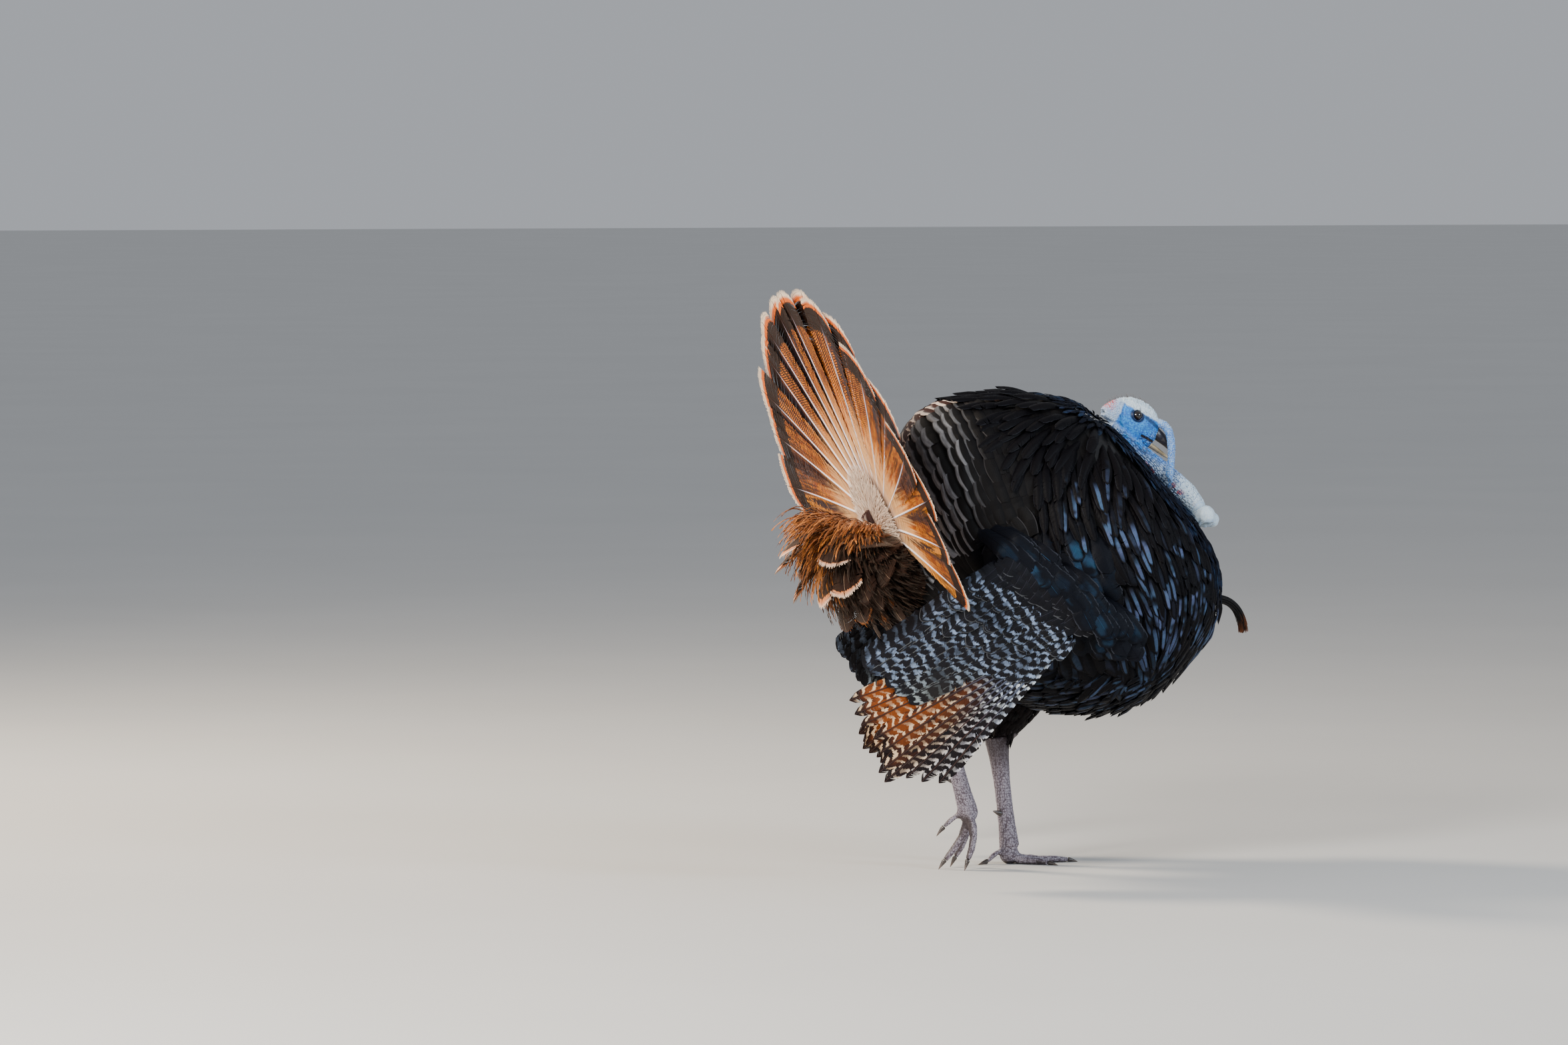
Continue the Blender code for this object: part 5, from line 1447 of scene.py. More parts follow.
def build_body_coat():
    """The feathers of the trunk, tract by tract."""
    rng = np.random.default_rng(10)

    def gaps(p):
        which = tract_of(p)
        sizes = np.array([TRACTS[w][:2] for w in which])
        sizes *= np.where(which == "ruff", mix(1.0, 1.5, smooth(0.045, 0.10, neck_near(p))), 1.0)[:, None]
        return sizes[:, 0], sizes[:, 1]

    p, n = scatter(rng, SCATTER_TRIES, gaps, lambda q: tract_of(q) != "back")
    which = tract_of(p)

    def tract(name):
        at = which == name
        return p[at], n[at], TRACTS[name][2], TRACTS[name][3]

    q, m, length, half = tract("ruff")
    wide = smooth(0.018, 0.100, neck_near(q))
    close = smooth(0.050, 0.024, ball_distance(q))
    body_coat("ruff_feathers", VELVET, 11, q, m, mix(0.7, 1.65, wide) * length * mix(1.0, 0.62, close),
              mix(0.8, 1.5, wide) * half, rows=7, sink=mix(0.006, 0.0085, close), lift=0.0004, cup=0.40,
              shape=(0.6, 0.45, 0.12), swing=0.06, columns=1, gaps=0.1, fray=0.05)
    # tone sets how strongly each tract's painted sheen shows, by where light fell on it
    q, m, length, half = tract("breast")
    body_coat("breast_feathers", PLUMAGE, 21, q, m, length, half, rows=11, lift=0.002, cup=0.60,
              shape=(0.45, 0.62, 0.18), gaps=0.06, fray=0.03,
              pitch=mix(0.04, 0.19, smooth(0.42, 0.27, q[:, 2])),
              tone=mix(1.1, 0.7, smooth(0.46, 0.36, q[:, 2])))
    q, m, length, half = tract("mantle")
    ridge = np.clip(smooth(0.615, 0.655, q[:, 2]) + smooth(0.050, 0.020, q[:, 0]), 0, 1)
    body_coat("mantle_feathers", PLUMAGE, 31, q, m, length, half, rows=12, lift=0.002, cup=0.60,
              shape=(0.45, 0.62, 0.18), gaps=0.06, fray=0.03,
              pitch=mix(0.05, 0.11, smooth(0.10, 0.03, np.abs(q[:, 1])) * smooth(0.63, 0.67, q[:, 2])),
              tone=mix(1.3, 0.0, ridge))
    q, m, length, half = tract("scapular")
    body_coat("scapular_feathers", SCAPULAR, 41, q, m, length, half, rows=12, cup=0.22,
              shape=(0.45, 0.66, 0.50), columns=3, gaps=0.05, fray=0.03, lift=0.0025,
              tone=mix(0.35, 1.0, smooth(0.38, 0.44, q[:, 2])))
    q, m, length, half = tract("flank")
    body_coat("flank_feathers", PLUMAGE, 61, q, m, length, half, rows=9, cup=0.40, pitch=0.04, tone=0.3,
              gaps=0.08)
    q, m, length, half = tract("belly")
    body_coat("belly_feathers", PLUMAGE, 71, q, m, length, half, rows=9, cup=0.50, pitch=0.15, lift=0.002,
              shape=(0.45, 0.58, 0.20), tone=0.45, gaps=0.08)
    q, m, row, turn = back_rows(rng)
    rear = smooth(0.04, -0.05, q[:, 0])
    steady = np.random.default_rng(12).uniform(0.75, 1.0, BACK_ROWS)[row]
    above = q[:, 2] - 0.43 - 0.55 * np.maximum(0, q[:, 0] + 0.16)
    # tone sets the painted sheen on the grey faces: more towards the rear and higher up
    body_coat("back_feathers", BACK, 51, q, m, mix(0.046, 0.050, rear), 0.0225, rows=15, turn=turn,
              sink=mix(0.010, 0.020, rear), lift=-0.0150, pitch=mix(0.45, 0.82, rear), curl=0.36, cup=0.10,
              shape=(0.50, 0.66, 0.88), columns=4, blunt=1.1, fray=0.012, swing=0.015, roll=0.03,
              vary=0.015, gaps=0.03, gap_depth=0.8,
              tone=steady * smooth(-0.020, -0.160, q[:, 0]) * smooth(0.0, 0.07, above),
              pale=smooth(0.050, 0.022, np.abs(q[:, 1])) * smooth(0.02, -0.03, q[:, 0]))
    for name in WINGS:
        build_shoulder(name)


# ---- tail ----------------------------------------------------------------------------------
def tail_set(turn, r):
    """How far ahead of its plane the fan lies: it is swept back at the sides, and twisted."""
    return -TAIL_SWEEP * np.sin(turn) ** 2 * (r / TAIL_LENGTH) ** 2 - TAIL_TWIST * np.sin(turn) * r


def tail_place(turn, r, ahead=0.0):
    """A place on the fan at an angle from its middle and a distance from its root."""
    across = np.stack([np.zeros_like(turn), np.sin(turn), np.zeros_like(turn)], -1)
    flat = (TAIL_UP * np.cos(turn)[..., None] + across) * np.asarray(r)[..., None]
    return TAIL_ROOT + flat + TAIL_FORWARD * (tail_set(turn, r) + ahead)[..., None]


def fan(coat, count, spread, length, start, half, ahead, rows, seed, quill, columns, at, patch, shape, gaps,
        fray, tone, bend=0.0, lean=2.0, cup=0.04, blunt=1.0, pale=None, dense=1.0, fringe=0,
        fringe_length=0.008):
    """count feathers spread evenly about the tail's middle."""
    rng = np.random.default_rng(seed)
    s = (np.arange(count) + 0.5) / count
    turn = (2 * s - 1) * spread + rng.normal(0, 0.006, count)
    t = 1 - (1 - np.linspace(0, 1, rows + 1)[None]) ** dense
    reach = length * (1 - 0.05 * (2 * s - 1) ** 4) * rng.uniform(0.985, 1.008, count)
    r = start + (reach[:, None] - start) * t
    turns = turn[:, None] * np.ones_like(t)
    layer = ahead(np.abs(turn), t, s)
    spine = tail_place(turns, r, layer - bend * t**2)
    out = np.broadcast_to(TAIL_FORWARD, spine.shape)
    medial = half(np.abs(turn))[0][:, None] * shape(t)
    lateral = half(np.abs(turn))[1][:, None] * shape(t)
    left = (turn > 0)[:, None]
    # the side vector points to the left (+Y), so on the left the outer vane is the second one
    width = np.stack([np.where(left, medial, lateral), np.where(left, lateral, medial)], -1)
    radii = (quill[0] * (1 - t) ** 0.8 + quill[1]) * np.ones((count, 1))
    coat.add(spine, out, width, at, patch=patch, lean=lean, cup=cup, blunt=blunt, fray=fray, gaps=gaps,
             gap_depth=0.9, columns=columns, relief=0.00025, quill=radii,
             tone=1.0 if tone is None else tone(turn), pale=0.0 if pale is None else pale(turn),
             fringe=fringe, fringe_length=fringe_length)
    return coat


def wedge_shape(start, length, widest, tip):
    """The width of a fan feather's vane: it opens with the fan, then rounds off to a broad tip."""
    def at(t):
        r = start + (length - start) * t
        wide = np.minimum(r / (widest * length), 1.0) ** 0.9
        return wide * (tip + (1 - tip) * np.sqrt(np.clip(1 - np.clip((t - 0.93) / 0.07, 0, 1) ** 2.4, 0, 1)))

    return at


def tail_painted_shade(turn):
    """Where a vane gets painted shade, as a neighbouring feather overlaps it: the outer vane beside the
    shaft, or the far edge of the inner vane on the outermost feathers."""
    outermost = smooth(math.radians(62), math.radians(88), np.abs(turn))
    left = turn > 0

    def at(c, t, n):
        inward = np.where(left[n], -c, c)  # 1 at the middle side's edge
        lateral = smooth(0.03, -0.06, inward) * smooth(-1.25, -0.80, inward)
        return mix(lateral, smooth(0.42, 0.80, inward), outermost[n])

    return at


def build_tail():
    """The fan, and the coverts and down round its root."""
    coat = Coat(101)
    at, patch = grid_places(TAIL_FEATHERS, TAIL_FEATHERS, 1)

    def half(turn):
        pitch = 2 * TAIL_HALF_SPREAD / TAIL_FEATHERS
        full = TAIL_LENGTH * 0.88 * math.tan(pitch / 2)
        return full * mix(1.62, 1.55, smooth(0.8, 1.7, turn)), full * mix(1.50, 0.62, smooth(0.8, 1.7, turn))

    def ahead(turn, t, s):
        # the middle feathers are ahead, the outer ones behind them
        order = np.abs(turn) / TAIL_HALF_SPREAD
        settled = (-0.0085 * order[:, None] + 0.002) * smooth(0.0, 0.15, t)
        return settled + 0.003 * np.sin(s * 57.0)[:, None] * t**3

    fan(coat, TAIL_FEATHERS, TAIL_HALF_SPREAD, TAIL_LENGTH * 0.985, TAIL_ROOT_RADIUS, half, ahead, 96, 102,
        (0.0018, 0.0004), 4, at, patch, wedge_shape(TAIL_ROOT_RADIUS, TAIL_LENGTH, 0.84, 0.86), 0.05, 0.02,
        tail_painted_shade, lean=6.0, blunt=8.0, pale=tail_glow, dense=1.25, fringe=70, fringe_length=0.0060)
    coat.make("tail_fan", TAIL, ["tail_feathers"])

    # four rows of coverts on the fan's front, the longest lying lowest
    coat = Coat(111)
    layers = [(13, 0.184, 0.0095, 0.023, 88), (12, 0.148, 0.0150, 0.023, 80), (11, 0.110, 0.0205, 0.021, 72),
              (9, 0.078, 0.0250, 0.019, 62)]
    total = sum(layer[0] for layer in layers)
    at, patch = grid_places(total, 15, 3)
    start = 0
    for k, (count, length, lift, width, spread) in enumerate(layers):
        wide = np.full(count, width)
        fan(coat, count, math.radians(spread), length, 0.022, lambda turn, w=wide: (w, w),
            lambda turn, t, s, h=lift: h + 0.0016 * (1 - turn / 1.6)[:, None] * np.ones_like(t),
            30, 112 + k, (0.0009, 0.0003), 3, at[start:start + count], patch,
            plain_shape(0.45, 0.72, 0.40), 0.25, 0.06, None, bend=-0.006, lean=2.4, cup=0.18,
            fringe=18, fringe_length=0.006)
        start += count
    coat.make("upper_covert_feathers", UPPER_COVERTS, ["upper_tail_coverts"])
    build_under_coverts()
    build_puff()
    build_down()


def build_under_coverts():
    """Broad coverts below the tail that fan back and down from its root, with curled, fringed tips."""
    coat = Coat(121)
    rng = np.random.default_rng(122)
    rows = 24
    layers = [(6, 6, 0.166, 0.026, 1.0), (6, 26, 0.166, 0.027, 0.95), (7, 47, 0.160, 0.025, 0.16),
              (7, 68, 0.150, 0.024, 0.05), (7, 90, 0.140, 0.023, 0.10), (7, 110, 0.124, 0.021, 0.05),
              (5, 84, 0.200, 0.0135, 0.96)]
    total = sum(layer[0] for layer in layers)
    at, patch = grid_places(total, 10, math.ceil(total / 10))
    first = 0
    for count, dip, length, width, light in layers:
        hanging = length > 0.19
        side = np.radians(np.linspace(-66, 66, count) * (0.42 if hanging else 1.0) + rng.normal(0, 4, count))
        reach = length * rng.uniform(0.90, 1.03, count) * (1 - 0.12 * (side / 1.15) ** 2)
        spine, out, t = under_lines(side, np.radians(dip + rng.normal(0, 6, count)), reach,
                                    np.full(count, 0.03), rows)
        curl = rng.uniform(-0.002, 0.014, count)[:, None] * t**6
        spine = spine - out * curl[..., None]
        half = np.full(count, width)[:, None, None] * vane_shape(rows, 0.55, 0.80, 0.86)[None, :, None]
        roll = rng.normal(0, 0.20, count)[:, None, None] * np.ones((1, rows + 1, 1))
        glow = light * rng.uniform(0.6, 1.0, count) * (1.0 if hanging else smooth(1.0, 0.5, np.abs(side)))
        coat.add(spine, out, np.repeat(half, 2, 2), at[first:first + count], patch=patch, lean=3.0,
                 cup=0.20, blunt=2.2, fray=0.05, gaps=0.20, gap_depth=1.0, columns=3, relief=0.0005,
                 roll=roll, fringe=30, fringe_length=0.007,
                 quill=(0.0005 * (1 - t) + 0.0002) * np.ones((count, 1)), pale=glow)
        first += count
    coat.make("under_covert_feathers", UNDER_COVERTS, ["under_tail_coverts"])


def build_down():
    """Pale loose down round the fan's root, on the side that faces back."""
    coat = Coat(131)
    rng = np.random.default_rng(132)
    count, rows = 2500, 6
    turn = rng.uniform(-2.0, 2.0, count)
    base = rng.uniform(0.002, 0.070, count)
    length = rng.uniform(0.030, 0.064, count) * smooth(0.110, 0.03, base)
    t = np.linspace(0, 1, rows + 1)[None]
    r = base[:, None] + length[:, None] * t
    sag = rng.uniform(0.0005, 0.0075, count)[:, None] * np.sin(math.pi * (0.15 + 0.8 * t))
    off = -0.0085 - sag * smooth(0.12, 0.02, r)
    spine = tail_place(turn[:, None] * np.ones_like(t) + rng.normal(0, 0.05, count)[:, None] * t, r, off)
    out = np.broadcast_to(-TAIL_FORWARD, spine.shape)
    half = rng.uniform(0.0007, 0.0016, count)[:, None, None] * vane_shape(rows, 0.7, 0.4, 0.06)[None, :, None]
    at, patch = grid_places(count, 50, 50)
    coat.add(spine, out, np.repeat(half, 2, 2), at, patch=patch, lean=2.0, cup=0.25, fray=0.10, gaps=0.2,
             gap_depth=0.7, columns=1, relief=0.0004)
    coat.make("tail_down", DOWN)


# ---- wings ---------------------------------------------------------------------------------
def wing_distance(wing, x, z):
    """How far the wing's inner face stands from the middle of the bird."""
    body = trunk_half_width(x, z) + WING_CLEAR
    away = np.maximum(0.0, (wing["wrist"][0] - x) * 0.80 + (wing["wrist"][1] - z) * 0.60)
    above = np.maximum(0.0, z - 0.44)
    flare = WING_REST + wing["flare"] * away - 0.25 * above
    blend = 0.012
    return blend * np.log(np.exp(body / blend) + np.exp(flare / blend))


def wing_feathers(coat, wing, base, dips, lengths, outer, inner, out, rows, quill, at, patch, shape,
                  bend=0.0, roll=0.06, start=0.0, **more):
    """Feathers on the wing's side view from base (n, 2) at dips below the horizontal, lifted by out."""
    n = len(dips)
    t = np.linspace(0, 1, rows + 1)[None]
    r = start + (lengths[:, None] - start) * t
    x = base[:, :1] - np.cos(dips)[:, None] * r - np.sin(dips)[:, None] * bend * t**2 * lengths[:, None]
    z = base[:, 1:] - np.sin(dips)[:, None] * r + np.cos(dips)[:, None] * bend * t**2 * lengths[:, None]
    y = wing["side"] * (wing_distance(wing, x, z) + out)
    spine = np.stack([x, y, z], -1)
    away = np.zeros_like(spine)
    away[..., 1] = wing["side"]
    lower, upper = outer[:, None] * shape[0], inner[:, None] * shape[1]
    right = wing["side"] < 0
    width = np.stack([lower, upper] if right else [upper, lower], -1)
    turn = np.full((n, rows + 1, 1), roll if right else -roll)
    coat.add(spine, away, width, at, patch=patch, roll=turn,
             quill=(quill[0] * (1 - t) ** 0.8 + quill[1]) * np.ones((n, 1)), **more)


def swap_sides(obj, wing):
    """On the left wing the outer vane has the other sign; the fields read the same on both."""
    if wing["side"] < 0:
        return
    for name, kind, size in (("plume", "vector", 3), ("vane_across", "value", 1)):
        data = obj.data.attributes[name].data
        values = np.zeros(len(data) * size, np.float32)
        data.foreach_get(kind, values)
        values = values.reshape(-1, size)
        values[:, 0] *= -1
        data.foreach_set(kind, values.ravel())


WING_COVERT_ROWS = [  # count, way up from the arm, length, height off the body, half width
    (11, 0.004, 0.112, 0.0125, 0.0135), (12, 0.012, 0.080, 0.0160, 0.0130),
    (12, 0.026, 0.056, 0.0190, 0.0125), (12, 0.040, 0.046, 0.0205, 0.0120),
    (14, 0.058, 0.040, 0.0226, 0.0150), (15, 0.068, 0.036, 0.0245, 0.0145),
]
UP_THE_ARM = np.array([math.cos(0.48), math.sin(0.48)])


def build_wing(name):
    """The primaries, the secondaries and the coverts of one drooped wing, as three pieces."""
    wing = WINGS[name]
    right = name == "right"
    seed = 200 if right else 300
    rng = np.random.default_rng(seed)
    wrist = np.array(wing["wrist"])
    # primaries
    count, rows = 10, 66
    s = (np.arange(count) + 0.5) / count
    dips = np.radians(table_at(wing["primary_dips"], s) + rng.normal(0, 0.8, count))
    lengths = table_at(wing["primary_lengths"], s) * rng.uniform(0.945, 0.995, count)
    coat = Coat(seed + 1)
    at, patch = grid_places(count, 5, 2)
    t = np.linspace(0, 1, rows + 1)
    round_off = 1 - (np.clip(t - 0.84, 0, 1) / 0.16) ** 2.0
    tip_shape = 0.30 + 0.70 * round_off
    outer_shape = (0.55 + 0.45 * smooth(0.0, 0.2, t)) * tip_shape
    inner_shape = (0.50 + 0.50 * smooth(0.0, 0.25, t)) * (1 - 0.42 * smooth(0.55, 0.88, t)) * tip_shape
    # tone sets how far the painted glow reaches on each primary, rising from the first to the last
    wing_feathers(coat, wing, np.repeat(wrist[None], count, 0), dips, lengths, np.full(count, 0.0128),
                  np.full(count, 0.0235), (0.0010 + 0.0042 * s)[:, None] * np.ones(rows + 1), rows,
                  (0.0014, 0.0005), at, patch, (outer_shape, inner_shape), bend=-0.026, roll=0.05,
                  start=0.014, lean=4.5, cup=0.05, blunt=1.6, fray=0.02, gaps=0.10, gap_depth=1.0,
                  columns=3, relief=0.0002, tone=mix(0.15, 1.0, smooth(0.10, 0.85, s)),
                  pale=rng.uniform(-0.3, 0.3, count) + 0.18 * np.arange(count))
    made = coat.make(f"wing_primaries_{name}", PRIMARY, [f"primaries_{name}"])
    swap_sides(made, wing)
    # secondaries
    count, rows = 13, 48
    s = (np.arange(count) + 0.5) / count
    first, last = (np.array(v) for v in wing["arm"])
    base = first + (last - first) * s[:, None]
    dips = np.radians(mix(*wing["secondary_dips"], s) + rng.normal(0, 0.5, count))
    lengths = mix(*wing["secondary_lengths"], s) * rng.uniform(0.95, 1.0, count)
    coat = Coat(seed + 2)
    at, patch = grid_places(count, 7, 2)
    shape = vane_shape(rows, 0.55, 0.76, 0.80)
    wing_feathers(coat, wing, base, dips, lengths, np.full(count, 0.0115), np.full(count, 0.022),
                  (0.0062 + 0.0050 * s)[:, None] * np.ones(rows + 1), rows, (0.0003, 0.0002), at, patch,
                  (shape, shape), bend=0.015, roll=0.10, lean=3.2, cup=0.10, blunt=2.6, fray=0.03,
                  gaps=0.08, gap_depth=1.0, columns=3, relief=0.0003,
                  tone=mix(1.0, 0.0, smooth(0.0, 0.7, s)),
                  pale=0.28 * np.arange(count) + rng.uniform(-0.16, 0.16, count))
    made = coat.make(f"wing_secondaries_{name}", SECONDARY, [f"secondaries_{name}"])
    swap_sides(made, wing)
    # coverts: over the primaries, then rows over the secondaries' bases, and small ones at the wrist
    coat = Coat(seed + 3)
    plans = []
    k = np.arange(5)
    plans.append((np.repeat(wrist[None], 5, 0) + np.array([[-0.004, 0.003]]) * k[:, None],
                  np.radians(np.linspace(40, 22, 5)), np.linspace(0.112, 0.168, 5), 0.0120, 0.0190,
                  0.0058 + 0.0010 * k))
    k = np.arange(7)
    plans.append((wrist + np.stack([0.006 - 0.004 * k, -0.008 + 0.006 * k], -1),
                  np.radians(np.linspace(46, 24, 7)), np.linspace(0.046, 0.062, 7), 0.008, 0.010,
                  0.0100 + 0.0006 * k))
    for count, back, length, lift, wide in WING_COVERT_ROWS:
        s = (np.arange(count) + 0.5) / count
        line = first + (last - first) * (s[:, None] * 1.12 - 0.06) + UP_THE_ARM * back
        dips = mix(20, 36, s) + (22 if back > 0.05 else 0) + rng.normal(0, 2.5 + 60 * back, count)
        plans.append((line, np.radians(dips), length * rng.uniform(0.84, 1.08, count),
                      wide * 0.8, wide * 1.1, lift + 0.0004 * np.arange(count)))
    total = sum(len(plan[1]) for plan in plans)
    at, patch = grid_places(total, 12, math.ceil(total / 12))
    start, rows = 0, 22
    shape = vane_shape(rows, 0.50, 0.68, 0.78)
    for number, (base, dips, lengths, outer, inner, lift) in enumerate(plans):
        n = len(dips)
        t = np.linspace(0, 1, rows + 1)[None]
        rise = lift[:, None] * (0.55 + 0.45 * smooth(0.0, 0.35, t)) - 0.003 * smooth(0.6, 1.0, t)
        wing_feathers(coat, wing, base, dips, lengths, np.full(n, outer), np.full(n, inner), rise, rows,
                      (0.0004, 0.0003), at[start:start + n], patch, (shape, shape), bend=0.01, roll=0.10,
                      lean=2.2, cup=0.16, blunt=2.2, fray=0.04, gaps=0.10, columns=3,
                      pale=0.3 * np.arange(n) + rng.uniform(-0.2, 0.2, n), tone=0.3 if number < 5 else -1.0)
        start += n
    made = coat.make(f"wing_covert_feathers_{name}", WING_COVERT, [f"wing_coverts_{name}"])
    swap_sides(made, wing)


# ---- thighs --------------------------------------------------------------------------------
def build_thigh_coat(name):
    """Short soft feathers round one thigh, down to the bare hock."""
    leg = LEGS[name]
    rng = np.random.default_rng(400 if name == "left" else 410)
    hip, hock = np.array(leg["hip"]), np.array(leg["hock"])
    axis = unit(hock - hip)
    across = unit(np.cross(axis, [0, 1, 0]))
    other = np.cross(axis, across)
    count, rows = 460, 8
    s, a = rng.uniform(0.0, 1.0, count) ** 0.8 * 0.97, rng.uniform(0, 2 * math.pi, count)
    length = rng.uniform(0.026, 0.038, count) * mix(1.1, 0.80, s)
    t = np.linspace(0, 1, rows + 1)[None]
    total = np.linalg.norm(hock - hip)
    run = s[:, None] + length[:, None] * t / total
    radius = table_at(THIGH_RADII, run.ravel()).reshape(run.shape)
    bend = np.array([0.012, 0, -0.006]) * np.sin(math.pi * np.clip(run, 0, 1))[..., None]
    middle = hip + (hock - hip) * (run * 0.93)[..., None] + bend
    out = across * np.cos(a)[:, None, None] + other * np.sin(a)[:, None, None] * np.ones_like(t)[..., None]
    spine = middle + out * (radius * 0.93 + mix(-0.006, 0.0025, smooth(0, 0.7, t)))[..., None]
    half = 0.0050 * vane_shape(rows, 0.5, 0.50, 0.14)[None, :, None] * mix(1.15, 0.75, s)[:, None, None]
    at = np.stack([0.01 + 0.97 * a / (2 * math.pi), 0.01 + 0.97 * s / 0.97], -1)
    coat = Coat(402 if name == "left" else 412)
    coat.add(spine, out, np.repeat(half, 2, 2), at, lean=1.6, cup=0.4, fray=0.08, gaps=0.2)
    coat.make(f"thigh_feathers_{name}", THIGH)


# ---- bill, eyes, horn, beard and bristles ---------------------------------------------------
def head_places(a, b, s):
    """Places from distances ahead of the head's middle, above it and beside it."""
    middle = HEAD_CENTRE + a[..., None] * HEAD_AHEAD + b[..., None] * HEAD_UP
    return middle + s[..., None] * np.array([0.0, 1.0, 0.0])


def ring_quads(rings):
    """Quads of one open tube whose points are numbered by row and side."""
    return tube_quads(rings[None]).reshape(-1, 4)


def build_bill(name, stations, node, upper):
    """A bill half: a ridge on top, a sharp cutting edge below, and the nostril's hollow."""
    rows, sides = 34, 36
    table = spline(stations, rows)
    ang = np.linspace(0, 2 * math.pi, sides, endpoint=False)
    a = np.repeat(table[:, :1], sides, 1)
    c, s = np.cos(ang), np.sin(ang)
    half_w, half_h, mid = table[:, 3:4], table[:, 2:3], table[:, 1:2]
    if upper:
        up = np.where(s > 0, np.abs(s) ** 0.9, -np.abs(s) ** 1.5 * 0.55)
        side = np.sign(c) * np.abs(c) ** 0.85 * np.where(s < 0, 1 - 0.25 * s * s, 1.0)
    else:
        up = np.where(s > 0, np.abs(s) ** 1.6 * 0.7, -np.abs(s) ** 0.9)
        side = np.sign(c) * np.abs(c) ** 0.9
    b = mid + half_h * up[None]
    w = half_w * side[None]
    nostril = np.exp(-((a - 0.049) / 0.0038) ** 2 - ((b - mid) / 0.0026) ** 2) * upper
    w = w - np.sign(w) * 0.0022 * nostril
    edge = 0.00035 * np.sin(a * 2600) * np.exp(-((s[None] + 0.35) / 0.25) ** 2)
    w = w + np.sign(w) * edge * 0.4
    p = head_places(a, b, w).reshape(-1, 3)
    rings = np.arange(rows * sides).reshape(rows, sides)
    tip = np.array([p[rings[-1]].mean(0)])
    base = np.array([p[rings[0]].mean(0)])
    p = np.vstack([p, tip, base])
    n = rows * sides
    quads = ring_quads(rings)
    fans = []
    for ring, middle in ((rings[-1], n), (rings[0][::-1], n + 1)):
        for k in range(0, sides, 2):
            fans.append([ring[k], ring[(k + 1) % sides], ring[(k + 2) % sides], middle])
    faces = np.vstack([quads, np.array(fans)])
    run = np.concatenate([np.repeat(np.linspace(0, 1, rows), sides), [1.0, 0.0]])
    return piece(name, p, faces, BILL if upper else BILL_PALE, [node],
                 {"run": run, "lot": np.zeros(len(p))})


def build_eye(name, side):
    """An eyeball with a bulging clear front; ring is the distance from the middle of the pupil."""
    rows, sides = 40, 48
    polar = np.linspace(0.0, math.pi, rows)
    ang = np.linspace(0, 2 * math.pi, sides, endpoint=False)
    radius = EYE_RADIUS * (0.985 + 0.035 * np.exp(-(polar / 0.55) ** 2))
    centre = eye_middle(side)
    axis = unit(np.array([0.10, side * 1.0, 0.05]))
    u = unit(np.cross(axis, [0, 0, 1]))
    v = np.cross(axis, u)
    polar = np.clip(polar, 0.02, math.pi - 0.02)
    p = (centre + axis * (radius * np.cos(polar))[:, None, None]
         + (u * np.cos(ang)[:, None] + v * np.sin(ang)[:, None])[None]
         * (radius * np.sin(polar))[:, None, None])
    rings = np.arange(rows * sides).reshape(rows, sides)
    faces = [ring_quads(rings)]
    for ring in (rings[0][::-1], rings[-1]):
        for k in range(1, sides - 2, 2):
            faces.append(np.array([[ring[0], ring[k], ring[k + 1], ring[k + 2]]]))
    ring_field = np.repeat(polar / 1.05, sides)
    return piece(name, p.reshape(-1, 3), np.vstack(faces), EYE, [f"eye_{name.split('_')[-1]}"],
                 {"ring": ring_field})


def refined_horn(name, nodes, finish_made):
    """Claws or spurs, rounded from their solids, with growth rings."""
    places, faces, run, start = [], [], [], 0
    for node in nodes:
        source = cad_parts[node]
        obj = bpy.data.objects.new("horn_source", source.data.copy())
        bpy.context.scene.collection.objects.link(obj)
        weld = obj.modifiers.new("weld", "WELD")
        weld.merge_threshold = 0.00005
        soft = obj.modifiers.new("soft", "SUBSURF")
        soft.levels = soft.render_levels = 3
        mesh = bpy.data.meshes.new_from_object(obj.evaluated_get(bpy.context.evaluated_depsgraph_get()))
        bpy.data.objects.remove(obj)
        p = mesh_places(mesh) - AHEAD
        tri = mesh_triangles(mesh)
        n = mesh_normals(mesh)
        bpy.data.meshes.remove(mesh)
        spread = p - p.mean(0)
        axis = np.linalg.svd(spread, full_matrices=False)[2][0]
        t = spread @ axis
        t = (t - t.min()) / (t.max() - t.min())
        off = np.linalg.norm(spread - np.outer(spread @ axis, axis), axis=1)
        if off[t > 0.7].mean() > off[t < 0.3].mean():
            t = 1 - t
        # the rounding draws the piece in, so it is let out again
        p = p + n * (0.00045 * (1 - t) + 0.00012 * np.sin(t * 46.0) * (1 - t))[:, None]
        p[:, 2] = np.maximum(p[:, 2], 0.0)
        places.append(p)
        faces.append(tri + start)
        run.append(t)
        start += len(p)
    run = np.concatenate(run)
    return piece(name, np.concatenate(places), np.concatenate(faces), finish_made, nodes,
                 {"run": run, "lot": np.zeros(len(run))})


